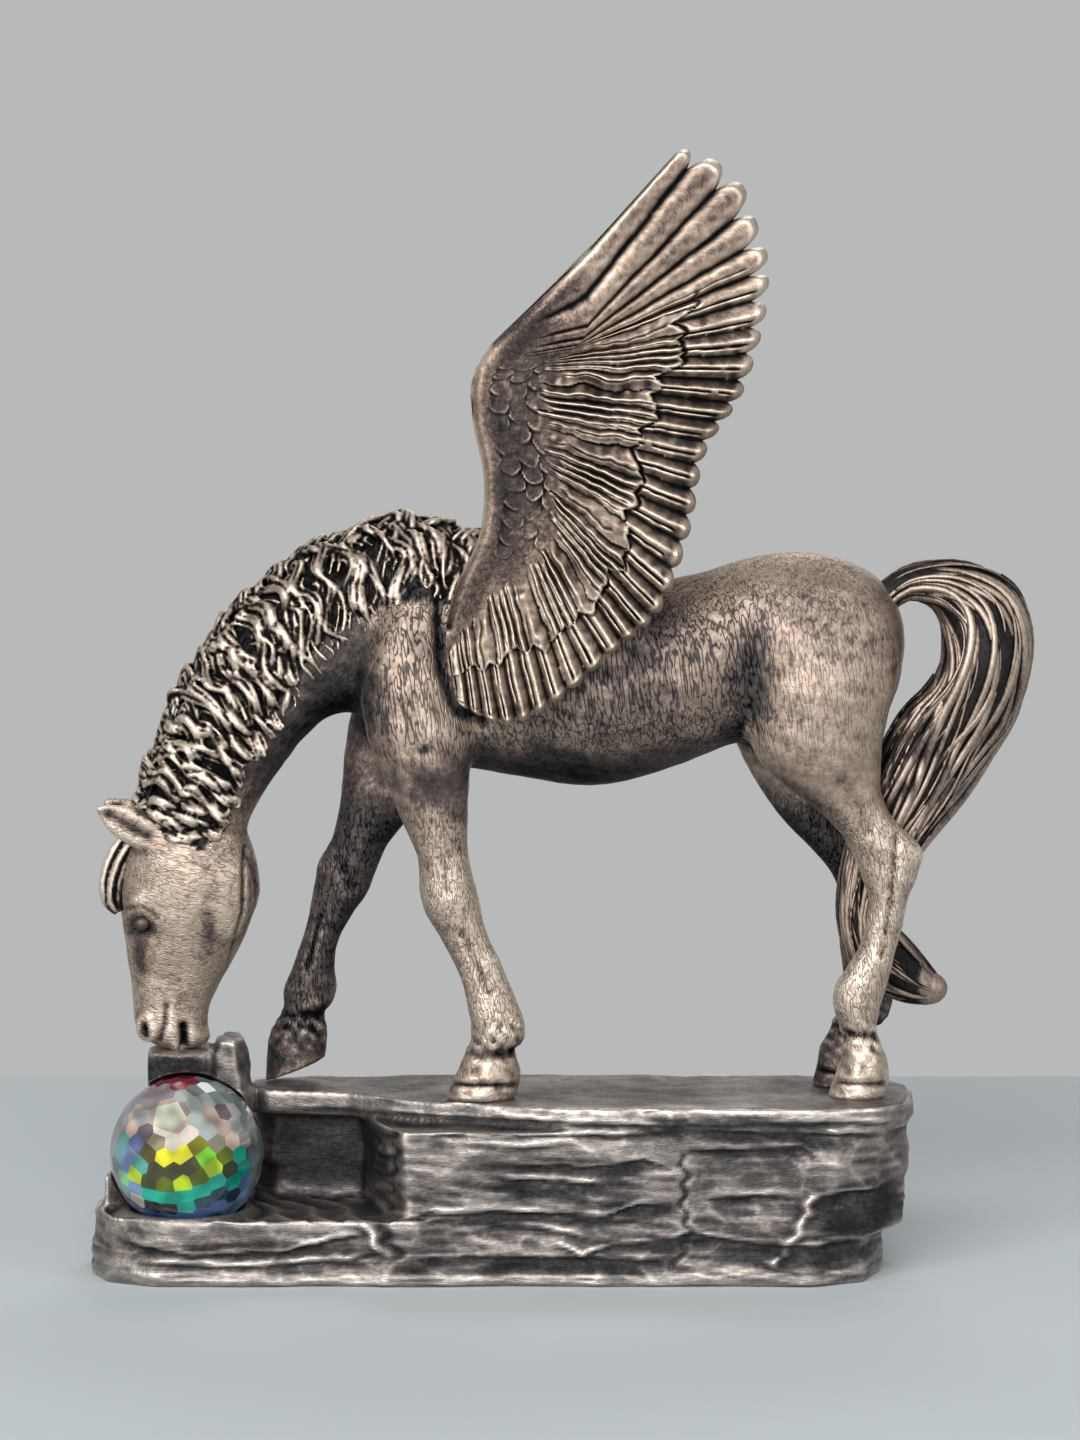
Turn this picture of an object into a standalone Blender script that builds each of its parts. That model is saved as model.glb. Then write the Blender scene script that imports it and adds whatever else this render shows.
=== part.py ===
"""A cast pewter winged horse that lowers its head to a faceted crystal ball on a rock base.

Five pieces: the rock, the horse, its two wings, and the ball. X runs from head to tail, Y away from
the viewer who sees the left side, and Z up from the table. The origin is on the rock's underside.
"""

import math
import random

import bmesh
import bpy
from mathutils import Matrix, Vector

MM = 0.001

# The tables of outlines and places are drawn in steps, so many of which make the figure's length.
FIGURE_LENGTH = 73.6 * MM
STEPS_ALONG = 73.6
TABLE_UNIT = FIGURE_LENGTH / STEPS_ALONG

# Rock
LEDGE_HEIGHT = 13.8 * MM
SHELF_HEIGHT = 5.4 * MM
ROCK_DEPTH = 17.6 * MM
STRATA = 7
STRATUM_STEP = 0.8 * MM
STRATUM_EDGE = 0.35 * MM
EDGE_WANDER = 0.4 * MM
LUMP_RISE = 0.8 * MM
ROCK_SKIN = 0.15 * MM

# Crystal ball
BALL_DIAMETER = 12.0 * MM
BALL_X = -24.8 * TABLE_UNIT
BALL_Y = -3.6 * TABLE_UNIT
BALL_SINK = 1.7 * MM
FACET_ROWS = 10
FACETS_ROUND = 20
TABLE_AXIS = (-0.19, -0.79, 0.58)
SEAT_GAP = 0.3 * MM

# Horse
BODY_WIDTH = 13.2 * MM
NECK_WIDTH = 6.6 * MM
HEAD_WIDTH = 7.0 * MM
SHOULDER_SPREAD = 8.0 * MM
HIP_SPREAD = 7.4 * MM
FRONT_LEG_WIDTH = 3.2 * MM
HIND_LEG_WIDTH = 3.2 * MM
HOOF_WIDTH = 4.0 * MM
NEAR_FRONT_HOOF_Y = -4.4 * MM
FAR_FRONT_HOOF_Y = 3.9 * MM
NEAR_HIND_HOOF_Y = -3.7 * MM
FAR_HIND_HOOF_Y = 1.9 * MM
TAIL_WIDTH = 5.6 * MM
LOCKS = 17
LOCK_THICKNESS = 1.5 * MM
EAR_LENGTH = 5.2 * MM
TAIL_STRANDS = 9
STRAND_THICKNESS = 1.3 * MM

# Wings
WING_THICKNESS = 1.1 * MM
WING_FLARE = 0.05
TIP_FLARE = 0.02
FEATHERS = 31
FEATHER_GROOVE = 0.5
FEATHER_NOTCH = 0.05
TIP_NOTCH = 0.10
BROAD_FEATHERS = 6

HORSE_VOXEL = 0.34 * MM
HORSE_KEEP = 0.038
ROCK_VOXEL = 0.4 * MM
ROCK_KEEP = 0.036

GROUND = LEDGE_HEIGHT + SEAT_GAP
ACROSS = Vector((0, 1, 0))
BALL_CENTRE = Vector((BALL_X, BALL_Y, SHELF_HEIGHT - BALL_SINK + BALL_DIAMETER / 2))

# Side outlines, in table units from the origin and above the hooves: the front or upper outline point,
# the rear or lower one, and the share of the piece's full width at that station.
TORSO = [
    (-11.4, 32.0, -11.0, 29.8, 0.30),
    (-9.8, 37.6, -9.9, 27.6, 0.66),
    (-6.5, 41.0, -6.6, 25.9, 0.84),
    (-3.0, 42.4, -2.6, 25.5, 0.90),
    (1.5, 41.8, 1.3, 24.8, 0.94),
    (6.5, 40.7, 6.8, 24.1, 1.00),
    (11.0, 40.2, 10.8, 24.8, 1.00),
    (15.0, 40.9, 15.5, 26.4, 0.95),
    (18.6, 42.0, 18.5, 27.6, 0.92),
    (22.5, 42.7, 22.5, 27.2, 0.94),
    (26.4, 42.2, 26.5, 28.0, 0.90),
    (29.4, 40.7, 29.6, 29.0, 0.74),
    (31.1, 38.4, 30.9, 31.4, 0.46),
    (31.6, 36.2, 31.4, 33.6, 0.16),
]
NECK = [
    (1.5, 40.5, -6.0, 27.0, 1.35),
    (-1.8, 43.0, -8.6, 28.0, 1.45),
    (-6.8, 44.7, -11.3, 29.8, 1.30),
    (-12.9, 43.4, -13.6, 29.6, 1.12),
    (-17.6, 40.6, -15.8, 27.8, 0.98),
    (-21.6, 36.9, -17.6, 25.4, 0.92),
    (-24.4, 32.5, -19.0, 23.4, 0.88),
    (-26.4, 28.4, -20.0, 21.4, 0.88),
    (-27.7, 24.4, -20.4, 19.4, 0.88),
    (-28.4, 21.0, -21.4, 18.0, 0.80),
]
HEAD = [
    (-26.9, 24.6, -22.0, 23.2, 0.45),
    (-28.8, 21.8, -20.2, 20.6, 0.84),
    (-30.0, 18.6, -19.3, 17.6, 0.98),
    (-30.3, 15.8, -19.3, 15.3, 1.00),
    (-30.1, 13.5, -20.1, 12.9, 0.92),
    (-29.8, 11.2, -21.1, 10.7, 0.78),
    (-29.5, 9.0, -22.2, 8.8, 0.66),
    (-29.3, 7.2, -23.1, 6.9, 0.60),
    (-29.2, 5.7, -23.4, 5.4, 0.62),
    (-28.7, 4.4, -23.1, 4.2, 0.56),
    (-27.2, 3.4, -23.8, 3.4, 0.36),
]
NEAR_FRONT_LEG = [
    (-9.0, 38.2, -3.9, 38.2, 1.00),
    (-10.7, 34.0, -3.3, 34.4, 1.55),
    (-11.1, 31.0, -2.7, 31.0, 1.80),
    (-10.5, 27.6, -2.4, 27.4, 1.75),
    (-9.2, 24.5, -2.4, 24.4, 1.50),
    (-8.0, 21.8, -2.6, 21.5, 1.28),
    (-6.9, 19.6, -2.7, 19.6, 1.10),
    (-6.5, 18.0, -2.4, 17.9, 1.08),
    (-6.5, 16.3, -1.9, 15.9, 1.10),
    (-6.1, 14.7, -1.5, 14.0, 1.00),
    (-5.1, 13.0, -1.0, 12.5, 0.84),
    (-4.1, 11.2, -0.2, 10.8, 0.78),
    (-3.3, 9.4, 0.6, 9.0, 0.78),
    (-2.9, 7.9, 1.2, 7.4, 0.86),
    (-2.6, 6.4, 1.8, 5.7, 0.98),
    (-2.5, 4.9, 1.5, 4.5, 0.94),
    (-2.8, 4.0, 0.9, 3.9, 0.82),
]
NEAR_FRONT_HOOF = [
    (-2.8, 4.0, 0.9, 3.9, 0.65),
    (-3.3, 3.0, 1.2, 2.8, 0.84),
    (-3.7, 2.0, 1.4, 1.8, 0.94),
    (-4.1, 1.0, 1.2, 0.9, 0.98),
    (-4.5, 0.0, 0.9, 0.0, 1.00),
]
FAR_FRONT_LEG = [
    (-9.4, 36.0, -3.5, 36.0, 1.20),
    (-11.4, 32.6, -3.4, 32.6, 1.65),
    (-12.4, 29.2, -4.0, 28.5, 1.70),
    (-12.8, 26.4, -5.0, 25.0, 1.55),
    (-13.1, 23.0, -7.0, 21.6, 1.30),
    (-13.6, 19.9, -9.1, 19.3, 1.08),
    (-14.7, 17.8, -10.1, 17.1, 1.06),
    (-15.2, 15.6, -10.9, 15.2, 1.06),
    (-15.5, 13.7, -12.1, 13.4, 0.90),
    (-16.1, 11.5, -13.1, 11.6, 0.78),
    (-16.9, 9.2, -13.5, 9.6, 0.78),
    (-17.6, 7.5, -13.3, 7.8, 0.90),
    (-17.6, 6.2, -13.6, 6.6, 0.94),
    (-18.0, 5.2, -14.4, 5.7, 0.82),
]
FAR_FRONT_HOOF = [
    (-18.0, 5.2, -14.4, 5.7, 0.65),
    (-18.7, 3.9, -14.1, 4.4, 0.86),
    (-18.9, 2.7, -14.1, 3.4, 0.95),
    (-19.0, 1.3, -14.2, 2.7, 0.98),
    (-19.1, 0.1, -14.3, 2.0, 1.00),
]
NEAR_HIND_LEG = [
    (20.5, 38.0, 30.2, 38.0, 1.20),
    (19.1, 33.0, 30.8, 33.5, 1.85),
    (18.8, 29.2, 29.9, 28.8, 1.90),
    (20.0, 26.0, 29.6, 25.8, 1.65),
    (22.1, 24.2, 29.7, 24.0, 1.40),
    (24.1, 22.7, 30.2, 22.5, 1.18),
    (25.9, 21.1, 31.5, 21.0, 1.02),
    (27.2, 19.2, 32.8, 19.5, 0.96),
    (28.0, 17.3, 32.4, 17.6, 0.92),
    (28.5, 15.6, 31.6, 15.5, 0.84),
    (28.3, 13.6, 31.2, 13.3, 0.76),
    (27.8, 11.8, 30.7, 11.6, 0.76),
    (26.9, 10.3, 30.4, 10.2, 0.82),
    (26.0, 9.0, 30.0, 8.8, 0.94),
    (25.8, 7.5, 29.6, 7.4, 0.96),
    (26.1, 6.2, 29.3, 6.0, 0.86),
    (26.6, 5.0, 29.4, 4.8, 0.84),
]
NEAR_HIND_HOOF = [
    (26.6, 5.0, 29.4, 4.8, 0.66),
    (26.6, 3.9, 29.9, 3.6, 0.80),
    (26.2, 2.4, 30.2, 2.2, 0.94),
    (25.7, 0.9, 30.1, 0.8, 0.98),
    (25.4, 0.0, 29.9, 0.0, 1.00),
]
FAR_HIND_LEG = [
    (20.0, 37.5, 30.0, 37.5, 1.20),
    (18.3, 31.5, 30.4, 32.0, 1.80),
    (18.2, 27.6, 29.5, 27.8, 1.75),
    (19.9, 24.0, 29.3, 24.3, 1.48),
    (21.9, 21.3, 29.5, 22.0, 1.22),
    (24.3, 19.0, 30.2, 20.4, 1.04),
    (26.0, 17.0, 30.9, 18.6, 0.96),
    (26.7, 15.2, 30.6, 16.2, 0.88),
    (26.8, 13.4, 29.9, 13.8, 0.78),
    (26.7, 11.6, 29.8, 11.6, 0.76),
    (26.9, 9.6, 30.4, 9.4, 0.82),
    (27.0, 7.9, 31.0, 7.2, 0.94),
    (26.6, 6.2, 30.4, 5.3, 0.92),
    (26.0, 4.7, 28.9, 4.2, 0.82),
]
FAR_HIND_HOOF = [
    (26.0, 4.7, 28.9, 4.2, 0.65),
    (25.2, 3.2, 28.6, 2.8, 0.82),
    (24.9, 1.6, 28.6, 1.4, 0.94),
    (24.5, 0.0, 28.4, 0.0, 1.00),
]
# The tail also states how far it swings across.
TAIL = [
    (28.6, 39.6, 29.8, 37.2, 0.40, 0.0),
    (31.6, 41.4, 31.6, 38.7, 0.50, 0.0),
    (35.0, 41.8, 33.5, 38.4, 0.66, -0.3),
    (38.0, 41.1, 34.4, 37.3, 0.80, -0.5),
    (40.2, 39.4, 34.7, 35.8, 0.90, -0.6),
    (41.2, 36.4, 34.4, 33.9, 0.98, -0.7),
    (41.1, 33.0, 33.3, 31.9, 1.00, -0.6),
    (40.1, 29.5, 31.6, 30.2, 0.94, -0.4),
    (38.1, 26.5, 30.2, 28.0, 0.84, -0.2),
    (35.9, 23.2, 29.0, 25.0, 0.70, -0.4),
    (33.3, 19.8, 27.8, 21.5, 0.54, -0.6),
    (31.3, 16.6, 26.9, 18.0, 0.44, -0.7),
    (30.3, 13.8, 26.7, 13.6, 0.42, -0.7),
    (31.0, 12.6, 28.0, 9.4, 0.42, -0.5),
    (32.4, 11.0, 30.8, 7.4, 0.42, -0.2),
    (34.0, 9.2, 33.2, 7.0, 0.34, 0.0),
    (34.9, 8.3, 34.6, 7.4, 0.18, 0.0),
]
FORELOCK = [
    (-28.2, 21.6, -27.4, 20.6, 0.22),
    (-30.2, 19.6, -28.6, 18.8, 0.30),
    (-31.2, 17.2, -29.2, 17.0, 0.30),
    (-31.2, 15.2, -29.6, 15.2, 0.22),
    (-30.4, 14.2, -29.9, 14.4, 0.08),
]

# Every third feather from the wing's tip to its root: where its line crosses the leading edge, where the
# feather leaves the coverts, and its own tip, in table units from the origin and above the hooves.
FEATHER_LINES = [
    (4.4, 63.7, 8.6, 67.3, 13.9, 73.5),
    (-0.9, 58.7, 6.7, 60.8, 19.3, 67.9),
    (-2.0, 57.1, 4.4, 58.7, 20.1, 61.1),
    (-2.4, 55.3, 2.9, 56.6, 18.4, 55.1),
    (-2.2, 52.6, 2.9, 53.0, 15.6, 50.5),
    (-1.5, 49.3, 3.5, 49.8, 14.4, 44.5),
    (-1.4, 46.9, 3.8, 46.9, 12.2, 38.5),
    (-1.7, 44.4, 3.4, 43.4, 8.7, 35.3),
    (-2.5, 42.4, 1.4, 41.3, 4.4, 31.5),
    (-3.4, 40.6, -1.3, 39.2, 0.5, 29.6),
    (-4.0, 38.7, -3.6, 36.1, -2.9, 30.9),
]
# The wing's thickness from its leading edge (0) over the coverts (1) to a feather's tip (2), as shares of
# the wing's thickness: the outer side with its two rows of overlapping feathers, then the inner side.
WING_OUTSIDE = [
    (0.0, 0.1),
    (0.1, 1.0),
    (0.28, 1.1),
    (0.42, 0.75),
    (0.96, 0.8),
    (1.06, 1.05),
    (1.34, 0.9),
    (1.37, 0.62),
    (1.64, 0.66),
    (1.67, 0.38),
    (1.95, 0.45),
]
WING_INSIDE = [(2.0, -0.15), (1.9, -0.4), (1.0, -0.6), (0.1, -0.6)]
# The wing's outermost edge and the end of its root, as feather lines.
LEADING_LINE = (6.8, 66.1, 10.6, 69.9, 13.1, 73.1)
ROOT_LINE = (-4.3, 37.3, -4.2, 34.9, -3.6, 31.9)

# Rock outlines seen from above, in table units, from the left end along the front.
TOP_OUTLINE = [
    (-20.4, 3.0), (-18.8, 1.0), (-12.0, -0.4), (-8.6, -3.4), (-4.5, -5.4), (1.5, -7.0), (6.0, -8.4),
    (12.0, -8.6), (18.0, -8.4), (24.0, -8.6), (29.0, -7.8), (31.6, -5.4), (32.4, -1.0), (32.2, 4.0),
    (30.0, 7.8), (23.0, 8.6), (13.0, 8.4), (2.0, 8.6), (-8.0, 8.4), (-16.0, 8.2), (-20.2, 6.6),
]
MASS_OUTLINE = [
    (-20.0, 4.0), (-18.4, 2.0), (-11.2, 1.6), (-10.4, -2.0), (-9.2, -5.8), (-7.6, -8.2), (0.0, -8.6),
    (7.0, -8.4), (14.0, -8.7), (20.0, -8.3), (26.0, -8.6), (29.4, -6.8), (31.9, -2.4), (31.7, 3.6),
    (29.6, 7.6), (22.0, 8.4), (12.0, 8.6), (2.0, 8.2), (-8.0, 8.6), (-16.0, 8.2), (-21.0, 7.0),
]
SHELF_OUTLINE = [
    (-32.4, -3.0), (-30.8, -6.8), (-27.0, -8.6), (-20.0, -8.8), (-14.0, -8.4), (-7.0, -8.8), (0.0, -8.5),
    (8.0, -8.7), (16.0, -8.4), (24.0, -8.7), (28.4, -6.8), (30.0, -2.0), (29.8, 3.6), (27.8, 7.4),
    (20.0, 8.5), (9.0, 8.3), (-3.0, 8.6), (-14.0, 8.4), (-24.0, 8.2), (-30.2, 6.6), (-32.4, 2.4),
]
POST_OUTLINE = [
    (-27.9, -2.2), (-25.4, -3.0), (-22.9, -2.4), (-22.4, 2.0), (-23.6, 4.4), (-26.6, 4.2), (-28.2, 1.6),
]
LUMP_OUTLINE = [(-22.2, -1.4), (-20.6, -1.8), (-19.8, 0.8), (-20.4, 3.6), (-22.0, 4.2), (-22.6, 1.6)]
SPUR_OUTLINE = [
    (-31.2, -3.6), (-29.4, -2.6), (-27.0, 2.0), (-22.0, 4.0), (-22.0, 7.4), (-28.6, 6.0), (-31.0, 2.0),
]
# An ear from its root to its tip: the place along it, and its half width and half thickness over its length.
EAR_SECTIONS = [(0, 0.20, 0.17), (0.3, 0.27, 0.17), (0.6, 0.25, 0.13), (0.9, 0.11, 0.08), (1, 0.04, 0.05)]


def at(x, height, y=0.0):
    """A point given in table units along the horse and above its hooves, and metres across."""
    return Vector((x * TABLE_UNIT, y, GROUND + height * TABLE_UNIT))


def blend(rows, place):
    """The row at a place between 0 and len(rows) - 1, on a smooth curve through the rows."""
    last = len(rows) - 1
    index = min(int(place), last - 1)
    share = place - index
    before, here = rows[max(index - 1, 0)], rows[index]
    ahead, beyond = rows[index + 1], rows[min(index + 2, last)]
    mixed = []
    for p0, p1, p2, p3 in zip(before, here, ahead, beyond):
        bend = 2 * p0 - 5 * p1 + 4 * p2 - p3
        twist = 3 * (p1 - p2) + p3 - p0
        mixed.append(p1 + 0.5 * share * (p2 - p0 + share * (bend + share * twist)))
    return mixed


def refined(rows, steps):
    """Rows with steps intervals between each two."""
    count = (len(rows) - 1) * steps
    return [blend(rows, i / steps) for i in range(count + 1)]


def loft(bm, rings, sides):
    """Bridges ellipses, each a centre and two half axes, and closes both ends."""
    loops = []
    for centre, along, across in rings:
        frame = Matrix((along, across, along.cross(across).normalized())).transposed().to_4x4()
        frame.translation = centre
        made = bmesh.ops.create_circle(bm, segments=sides, radius=1, matrix=frame)
        loops.append(list({edge for vert in made["verts"] for edge in vert.link_edges}))
    for lower, upper in zip(loops, loops[1:]):
        bmesh.ops.bridge_loops(bm, edges=lower + upper)
    for end in (loops[0], loops[-1]):
        bmesh.ops.edgeloop_fill(bm, edges=end)


def profile_loft(bm, rows, width, y_of, sides=14, steps=3):
    """Lofts a form from its side outlines. y_of gives the centre across for a row's height share."""
    rings = []
    rows = refined(rows, steps)
    for number, row in enumerate(rows):
        front, rear = at(*row[0:2]), at(*row[2:4])
        centre = (front + rear) / 2
        centre.y = y_of(number / (len(rows) - 1), row)
        rings.append((centre, (front - rear) / 2, ACROSS * (row[4] * width / 2)))
    loft(bm, rings, sides)


def strand(bm, points, radii, sides=6):
    """A tapering round strand through the points."""
    rings = []
    for number, point in enumerate(points):
        ahead = points[min(number + 1, len(points) - 1)]
        behind = points[max(number - 1, 0)]
        along = (ahead - behind).normalized()
        side = along.orthogonal().normalized()
        radius = radii[number]
        rings.append((point, side * radius, along.cross(side) * radius))
    loft(bm, rings, sides)


def piece(name, bm, material):
    """Turns a bmesh into a named object with a material."""
    bmesh.ops.recalc_face_normals(bm, faces=bm.faces)
    mesh = bpy.data.meshes.new(name)
    bm.to_mesh(mesh)
    bm.free()
    mesh.materials.append(material)
    obj = bpy.data.objects.new(name, mesh)
    parts.objects.link(obj)
    return obj


def fuse(obj, voxel, rounding):
    """Joins overlapping forms into one skin, as in the mould."""
    join = obj.modifiers.new("Fuse", "REMESH")
    join.mode = "VOXEL"
    join.voxel_size = voxel
    soften = obj.modifiers.new("Soften", "SMOOTH")
    soften.factor = 0.5
    soften.iterations = rounding


def thin(obj, keep):
    """Thins out the skin's facets."""
    fewer = obj.modifiers.new("Thin", "DECIMATE")
    fewer.ratio = keep
    fewer.use_collapse_triangulate = True


def boolean(obj, other, operation):
    """Cuts or joins with a helper object, which is kept out of the part."""
    modifier = obj.modifiers.new(other.name, "BOOLEAN")
    modifier.operation = operation
    modifier.solver = "EXACT"
    modifier.object = other


def helper(name, bm):
    """A cutter, which isn't part of the object."""
    bmesh.ops.recalc_face_normals(bm, faces=bm.faces)
    mesh = bpy.data.meshes.new(name)
    bm.to_mesh(mesh)
    bm.free()
    obj = bpy.data.objects.new(name, mesh)
    cutters.objects.link(obj)
    obj.hide_render = True
    obj.display_type = "WIRE"
    return obj


def metal(name, colour, roughness):
    """A plain cast metal."""
    material = bpy.data.materials.new(name)
    material.use_nodes = True
    shader = material.node_tree.nodes["Principled BSDF"]
    shader.inputs["Base Color"].default_value = (*colour, 1)
    shader.inputs["Metallic"].default_value = 1
    shader.inputs["Roughness"].default_value = roughness
    return material


def crystal(name):
    """Clear cut glass with a coloured film behind it."""
    material = bpy.data.materials.new(name)
    material.use_nodes = True
    shader = material.node_tree.nodes["Principled BSDF"]
    shader.inputs["Base Color"].default_value = (0.25, 0.62, 0.42, 1)
    shader.inputs["Roughness"].default_value = 0.04
    shader.inputs["IOR"].default_value = 1.55
    return material


def leg(bm, rows, hoof, width, top_y, hoof_y):
    """A leg and its hoof, drifting from the hip or shoulder across to where the hoof stands."""
    profile_loft(bm, rows, width, lambda share, row: top_y + (hoof_y - top_y) * share)
    profile_loft(bm, hoof, HOOF_WIDTH, lambda share, row: hoof_y)


def skin_point(rows, width, place, angle, lift, side):
    """A point on a lofted form: angle 0 is its front or upper outline, 90 degrees the middle of one side."""
    row = blend(rows, place)
    crest, throat = at(*row[0:2]), at(*row[2:4])
    centre = (crest + throat) / 2
    if len(row) > 5:
        centre.y = row[5] * TABLE_UNIT
    reach = (crest - throat) / 2
    upward = reach + reach.normalized() * lift
    outward = ACROSS * side * (row[4] * width / 2 + lift)
    return centre + upward * math.cos(angle) + outward * math.sin(angle)


def mane(bm):
    """Wavy locks that fall from the crest down both sides of the neck."""
    draw = random.Random(4)
    first, last = 1.1, len(NECK) - 2.0
    for side in (-1, 1):
        for number in range(LOCKS):
            place = first + (last - first) * number / (LOCKS - 1)
            reach = math.radians(76 + 34 * number / LOCKS + draw.uniform(-9, 9))
            if side > 0:
                reach *= 0.8
            wave = draw.uniform(0.8, 1.3)
            turn = draw.uniform(0, 2 * math.pi)
            points, radii = [], []
            for step in range(8):
                share = step / 7
                drift = 0.16 * share + 0.13 * wave * math.sin(turn + 7 * share)
                where = max(0.0, min(place - drift, len(NECK) - 1.0))
                angle = -0.25 + (reach + 0.25) * share
                lift = LOCK_THICKNESS * (0.24 + 0.16 * math.sin(turn + 9 * share))
                points.append(skin_point(NECK, NECK_WIDTH, where, angle, lift, side))
                radii.append(LOCK_THICKNESS / 2 * (1.08 - 0.62 * share ** 3))
            strand(bm, points, radii)


def tail(bm):
    """The tail's core and the long strands that run down it and turn slowly round it."""
    profile_loft(bm, TAIL, TAIL_WIDTH - STRAND_THICKNESS, lambda share, row: row[5] * TABLE_UNIT, sides=12)
    last = len(TAIL) - 1
    for number in range(TAIL_STRANDS):
        start = 2 * math.pi * number / TAIL_STRANDS
        points, radii = [], []
        for step in range(31):
            share = step / 30
            angle = start + 0.9 * share + 0.3 * math.sin(5 * share + start)
            lift = -0.34 * STRAND_THICKNESS
            points.append(skin_point(TAIL, TAIL_WIDTH, share * last, angle, lift, 1))
            fullness = math.sin(math.pi * (0.14 + 0.84 * share))
            radii.append(STRAND_THICKNESS / 2 * (0.35 + 0.65 * fullness))
        strand(bm, points, radii)


def swelling(bm, x, height, y, half_length, half_width, half_height):
    """An ellipsoid of flesh or bone that raises the skin above it."""
    size = Matrix.Diagonal((half_length * TABLE_UNIT, half_width * TABLE_UNIT, half_height * TABLE_UNIT, 1))
    place = Matrix.Translation(at(x, height, y)) @ size
    bmesh.ops.create_uvsphere(bm, u_segments=14, v_segments=10, radius=1, matrix=place)


def face(bm, side):
    """Cheek, eye with its brow, and nostril on one side of the head."""
    swelling(bm, -22.4, 16.2, side * HEAD_WIDTH * 0.24, 2.9, 2.1, 3.9)
    swelling(bm, -28.2, 13.6, side * HEAD_WIDTH * 0.36, 0.9, 0.55, 0.75)
    swelling(bm, -27.6, 15.1, side * HEAD_WIDTH * 0.34, 1.5, 0.7, 0.55)
    swelling(bm, -28.0, 5.2, side * HEAD_WIDTH * 0.23, 0.9, 0.7, 1.1)


def ear(bm, side):
    """A pricked ear, hollow towards the side, between the poll and its tip."""
    root = at(-26.6, 20.8, side * HEAD_WIDTH * 0.30)
    point = root + Vector((-0.92, side * 0.14, 0.36)).normalized() * EAR_LENGTH
    rings = []
    upright = Vector((0.36, 0, 0.92))
    for share, wide, thick in EAR_SECTIONS:
        rings.append((root.lerp(point, share), upright * wide * EAR_LENGTH, ACROSS * thick * EAR_LENGTH))
    loft(bm, rings, 10)


def shoulder_boss(bm):
    """The thick root on both sides of the withers, to whose flat ends the wings are soldered."""
    rings = []
    along, upward = at(11.6, 0) - at(4.2, 0), at(0, 40.4) - at(0, 36.0)
    for share, size in ((-1, 0.8), (-0.9, 1), (0, 1.05), (0.9, 1), (1, 0.8)):
        rings.append((at(4.2, 36.0, share * BODY_WIDTH / 2), along * size, upward * size))
    loft(bm, rings, 16)


def make_horse(material):
    """The horse with its mane, ears and tail, which leave the mould as one casting."""
    bm = bmesh.new()
    profile_loft(bm, TORSO, BODY_WIDTH, lambda share, row: 0.0, sides=20)
    profile_loft(bm, NECK, NECK_WIDTH, lambda share, row: 0.0, sides=16)
    profile_loft(bm, HEAD, HEAD_WIDTH, lambda share, row: 0.0, sides=16)
    profile_loft(bm, FORELOCK, HEAD_WIDTH, lambda share, row: 0.0, sides=8)
    leg(bm, NEAR_FRONT_LEG, NEAR_FRONT_HOOF, FRONT_LEG_WIDTH, -SHOULDER_SPREAD / 2, NEAR_FRONT_HOOF_Y)
    leg(bm, FAR_FRONT_LEG, FAR_FRONT_HOOF, FRONT_LEG_WIDTH, SHOULDER_SPREAD / 2, FAR_FRONT_HOOF_Y)
    leg(bm, NEAR_HIND_LEG, NEAR_HIND_HOOF, HIND_LEG_WIDTH, -HIP_SPREAD / 2, NEAR_HIND_HOOF_Y)
    leg(bm, FAR_HIND_LEG, FAR_HIND_HOOF, HIND_LEG_WIDTH, HIP_SPREAD / 2, FAR_HIND_HOOF_Y)
    shoulder_boss(bm)
    tail(bm)
    mane(bm)
    for side in (-1, 1):
        ear(bm, side)
        face(bm, side)
    horse = piece("horse", bm, material)
    fuse(horse, HORSE_VOXEL, 2)
    thin(horse, HORSE_KEEP)
    return horse


def wing_point(x, height, side, thickness):
    """A point on a wing, which leans out from the barrel towards its trailing edge and its tip."""
    inner = BODY_WIDTH / 2 + SEAT_GAP - WING_INSIDE[-1][1] * WING_THICKNESS
    above = height - FEATHER_LINES[-1][1]
    lean = (WING_FLARE * max(0.0, x) + TIP_FLARE * max(0.0, above)) * TABLE_UNIT
    return at(x, height, side * (inner + lean + thickness * WING_THICKNESS))


def wing_ring(bm, line, side, groove, notch):
    """One closed section of a wing, from the leading edge to a feather's tip and back along the inside."""
    edge, bend, tip = Vector(line[0:2]), Vector(line[2:4]), Vector(line[4:6])
    tip = tip.lerp(bend, notch)
    made = []
    for share, thickness in WING_OUTSIDE + WING_INSIDE:
        if share <= 1:
            flat = edge.lerp(bend, share)
        else:
            flat = bend.lerp(tip, share - 1)
            thickness -= groove if thickness > 0 else -0.2 * groove
        made.append(bm.verts.new(wing_point(flat.x, flat.y, side, thickness)))
    return [bm.edges.new((a, b)) for a, b in zip(made, made[1:] + made[:1])]


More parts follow.
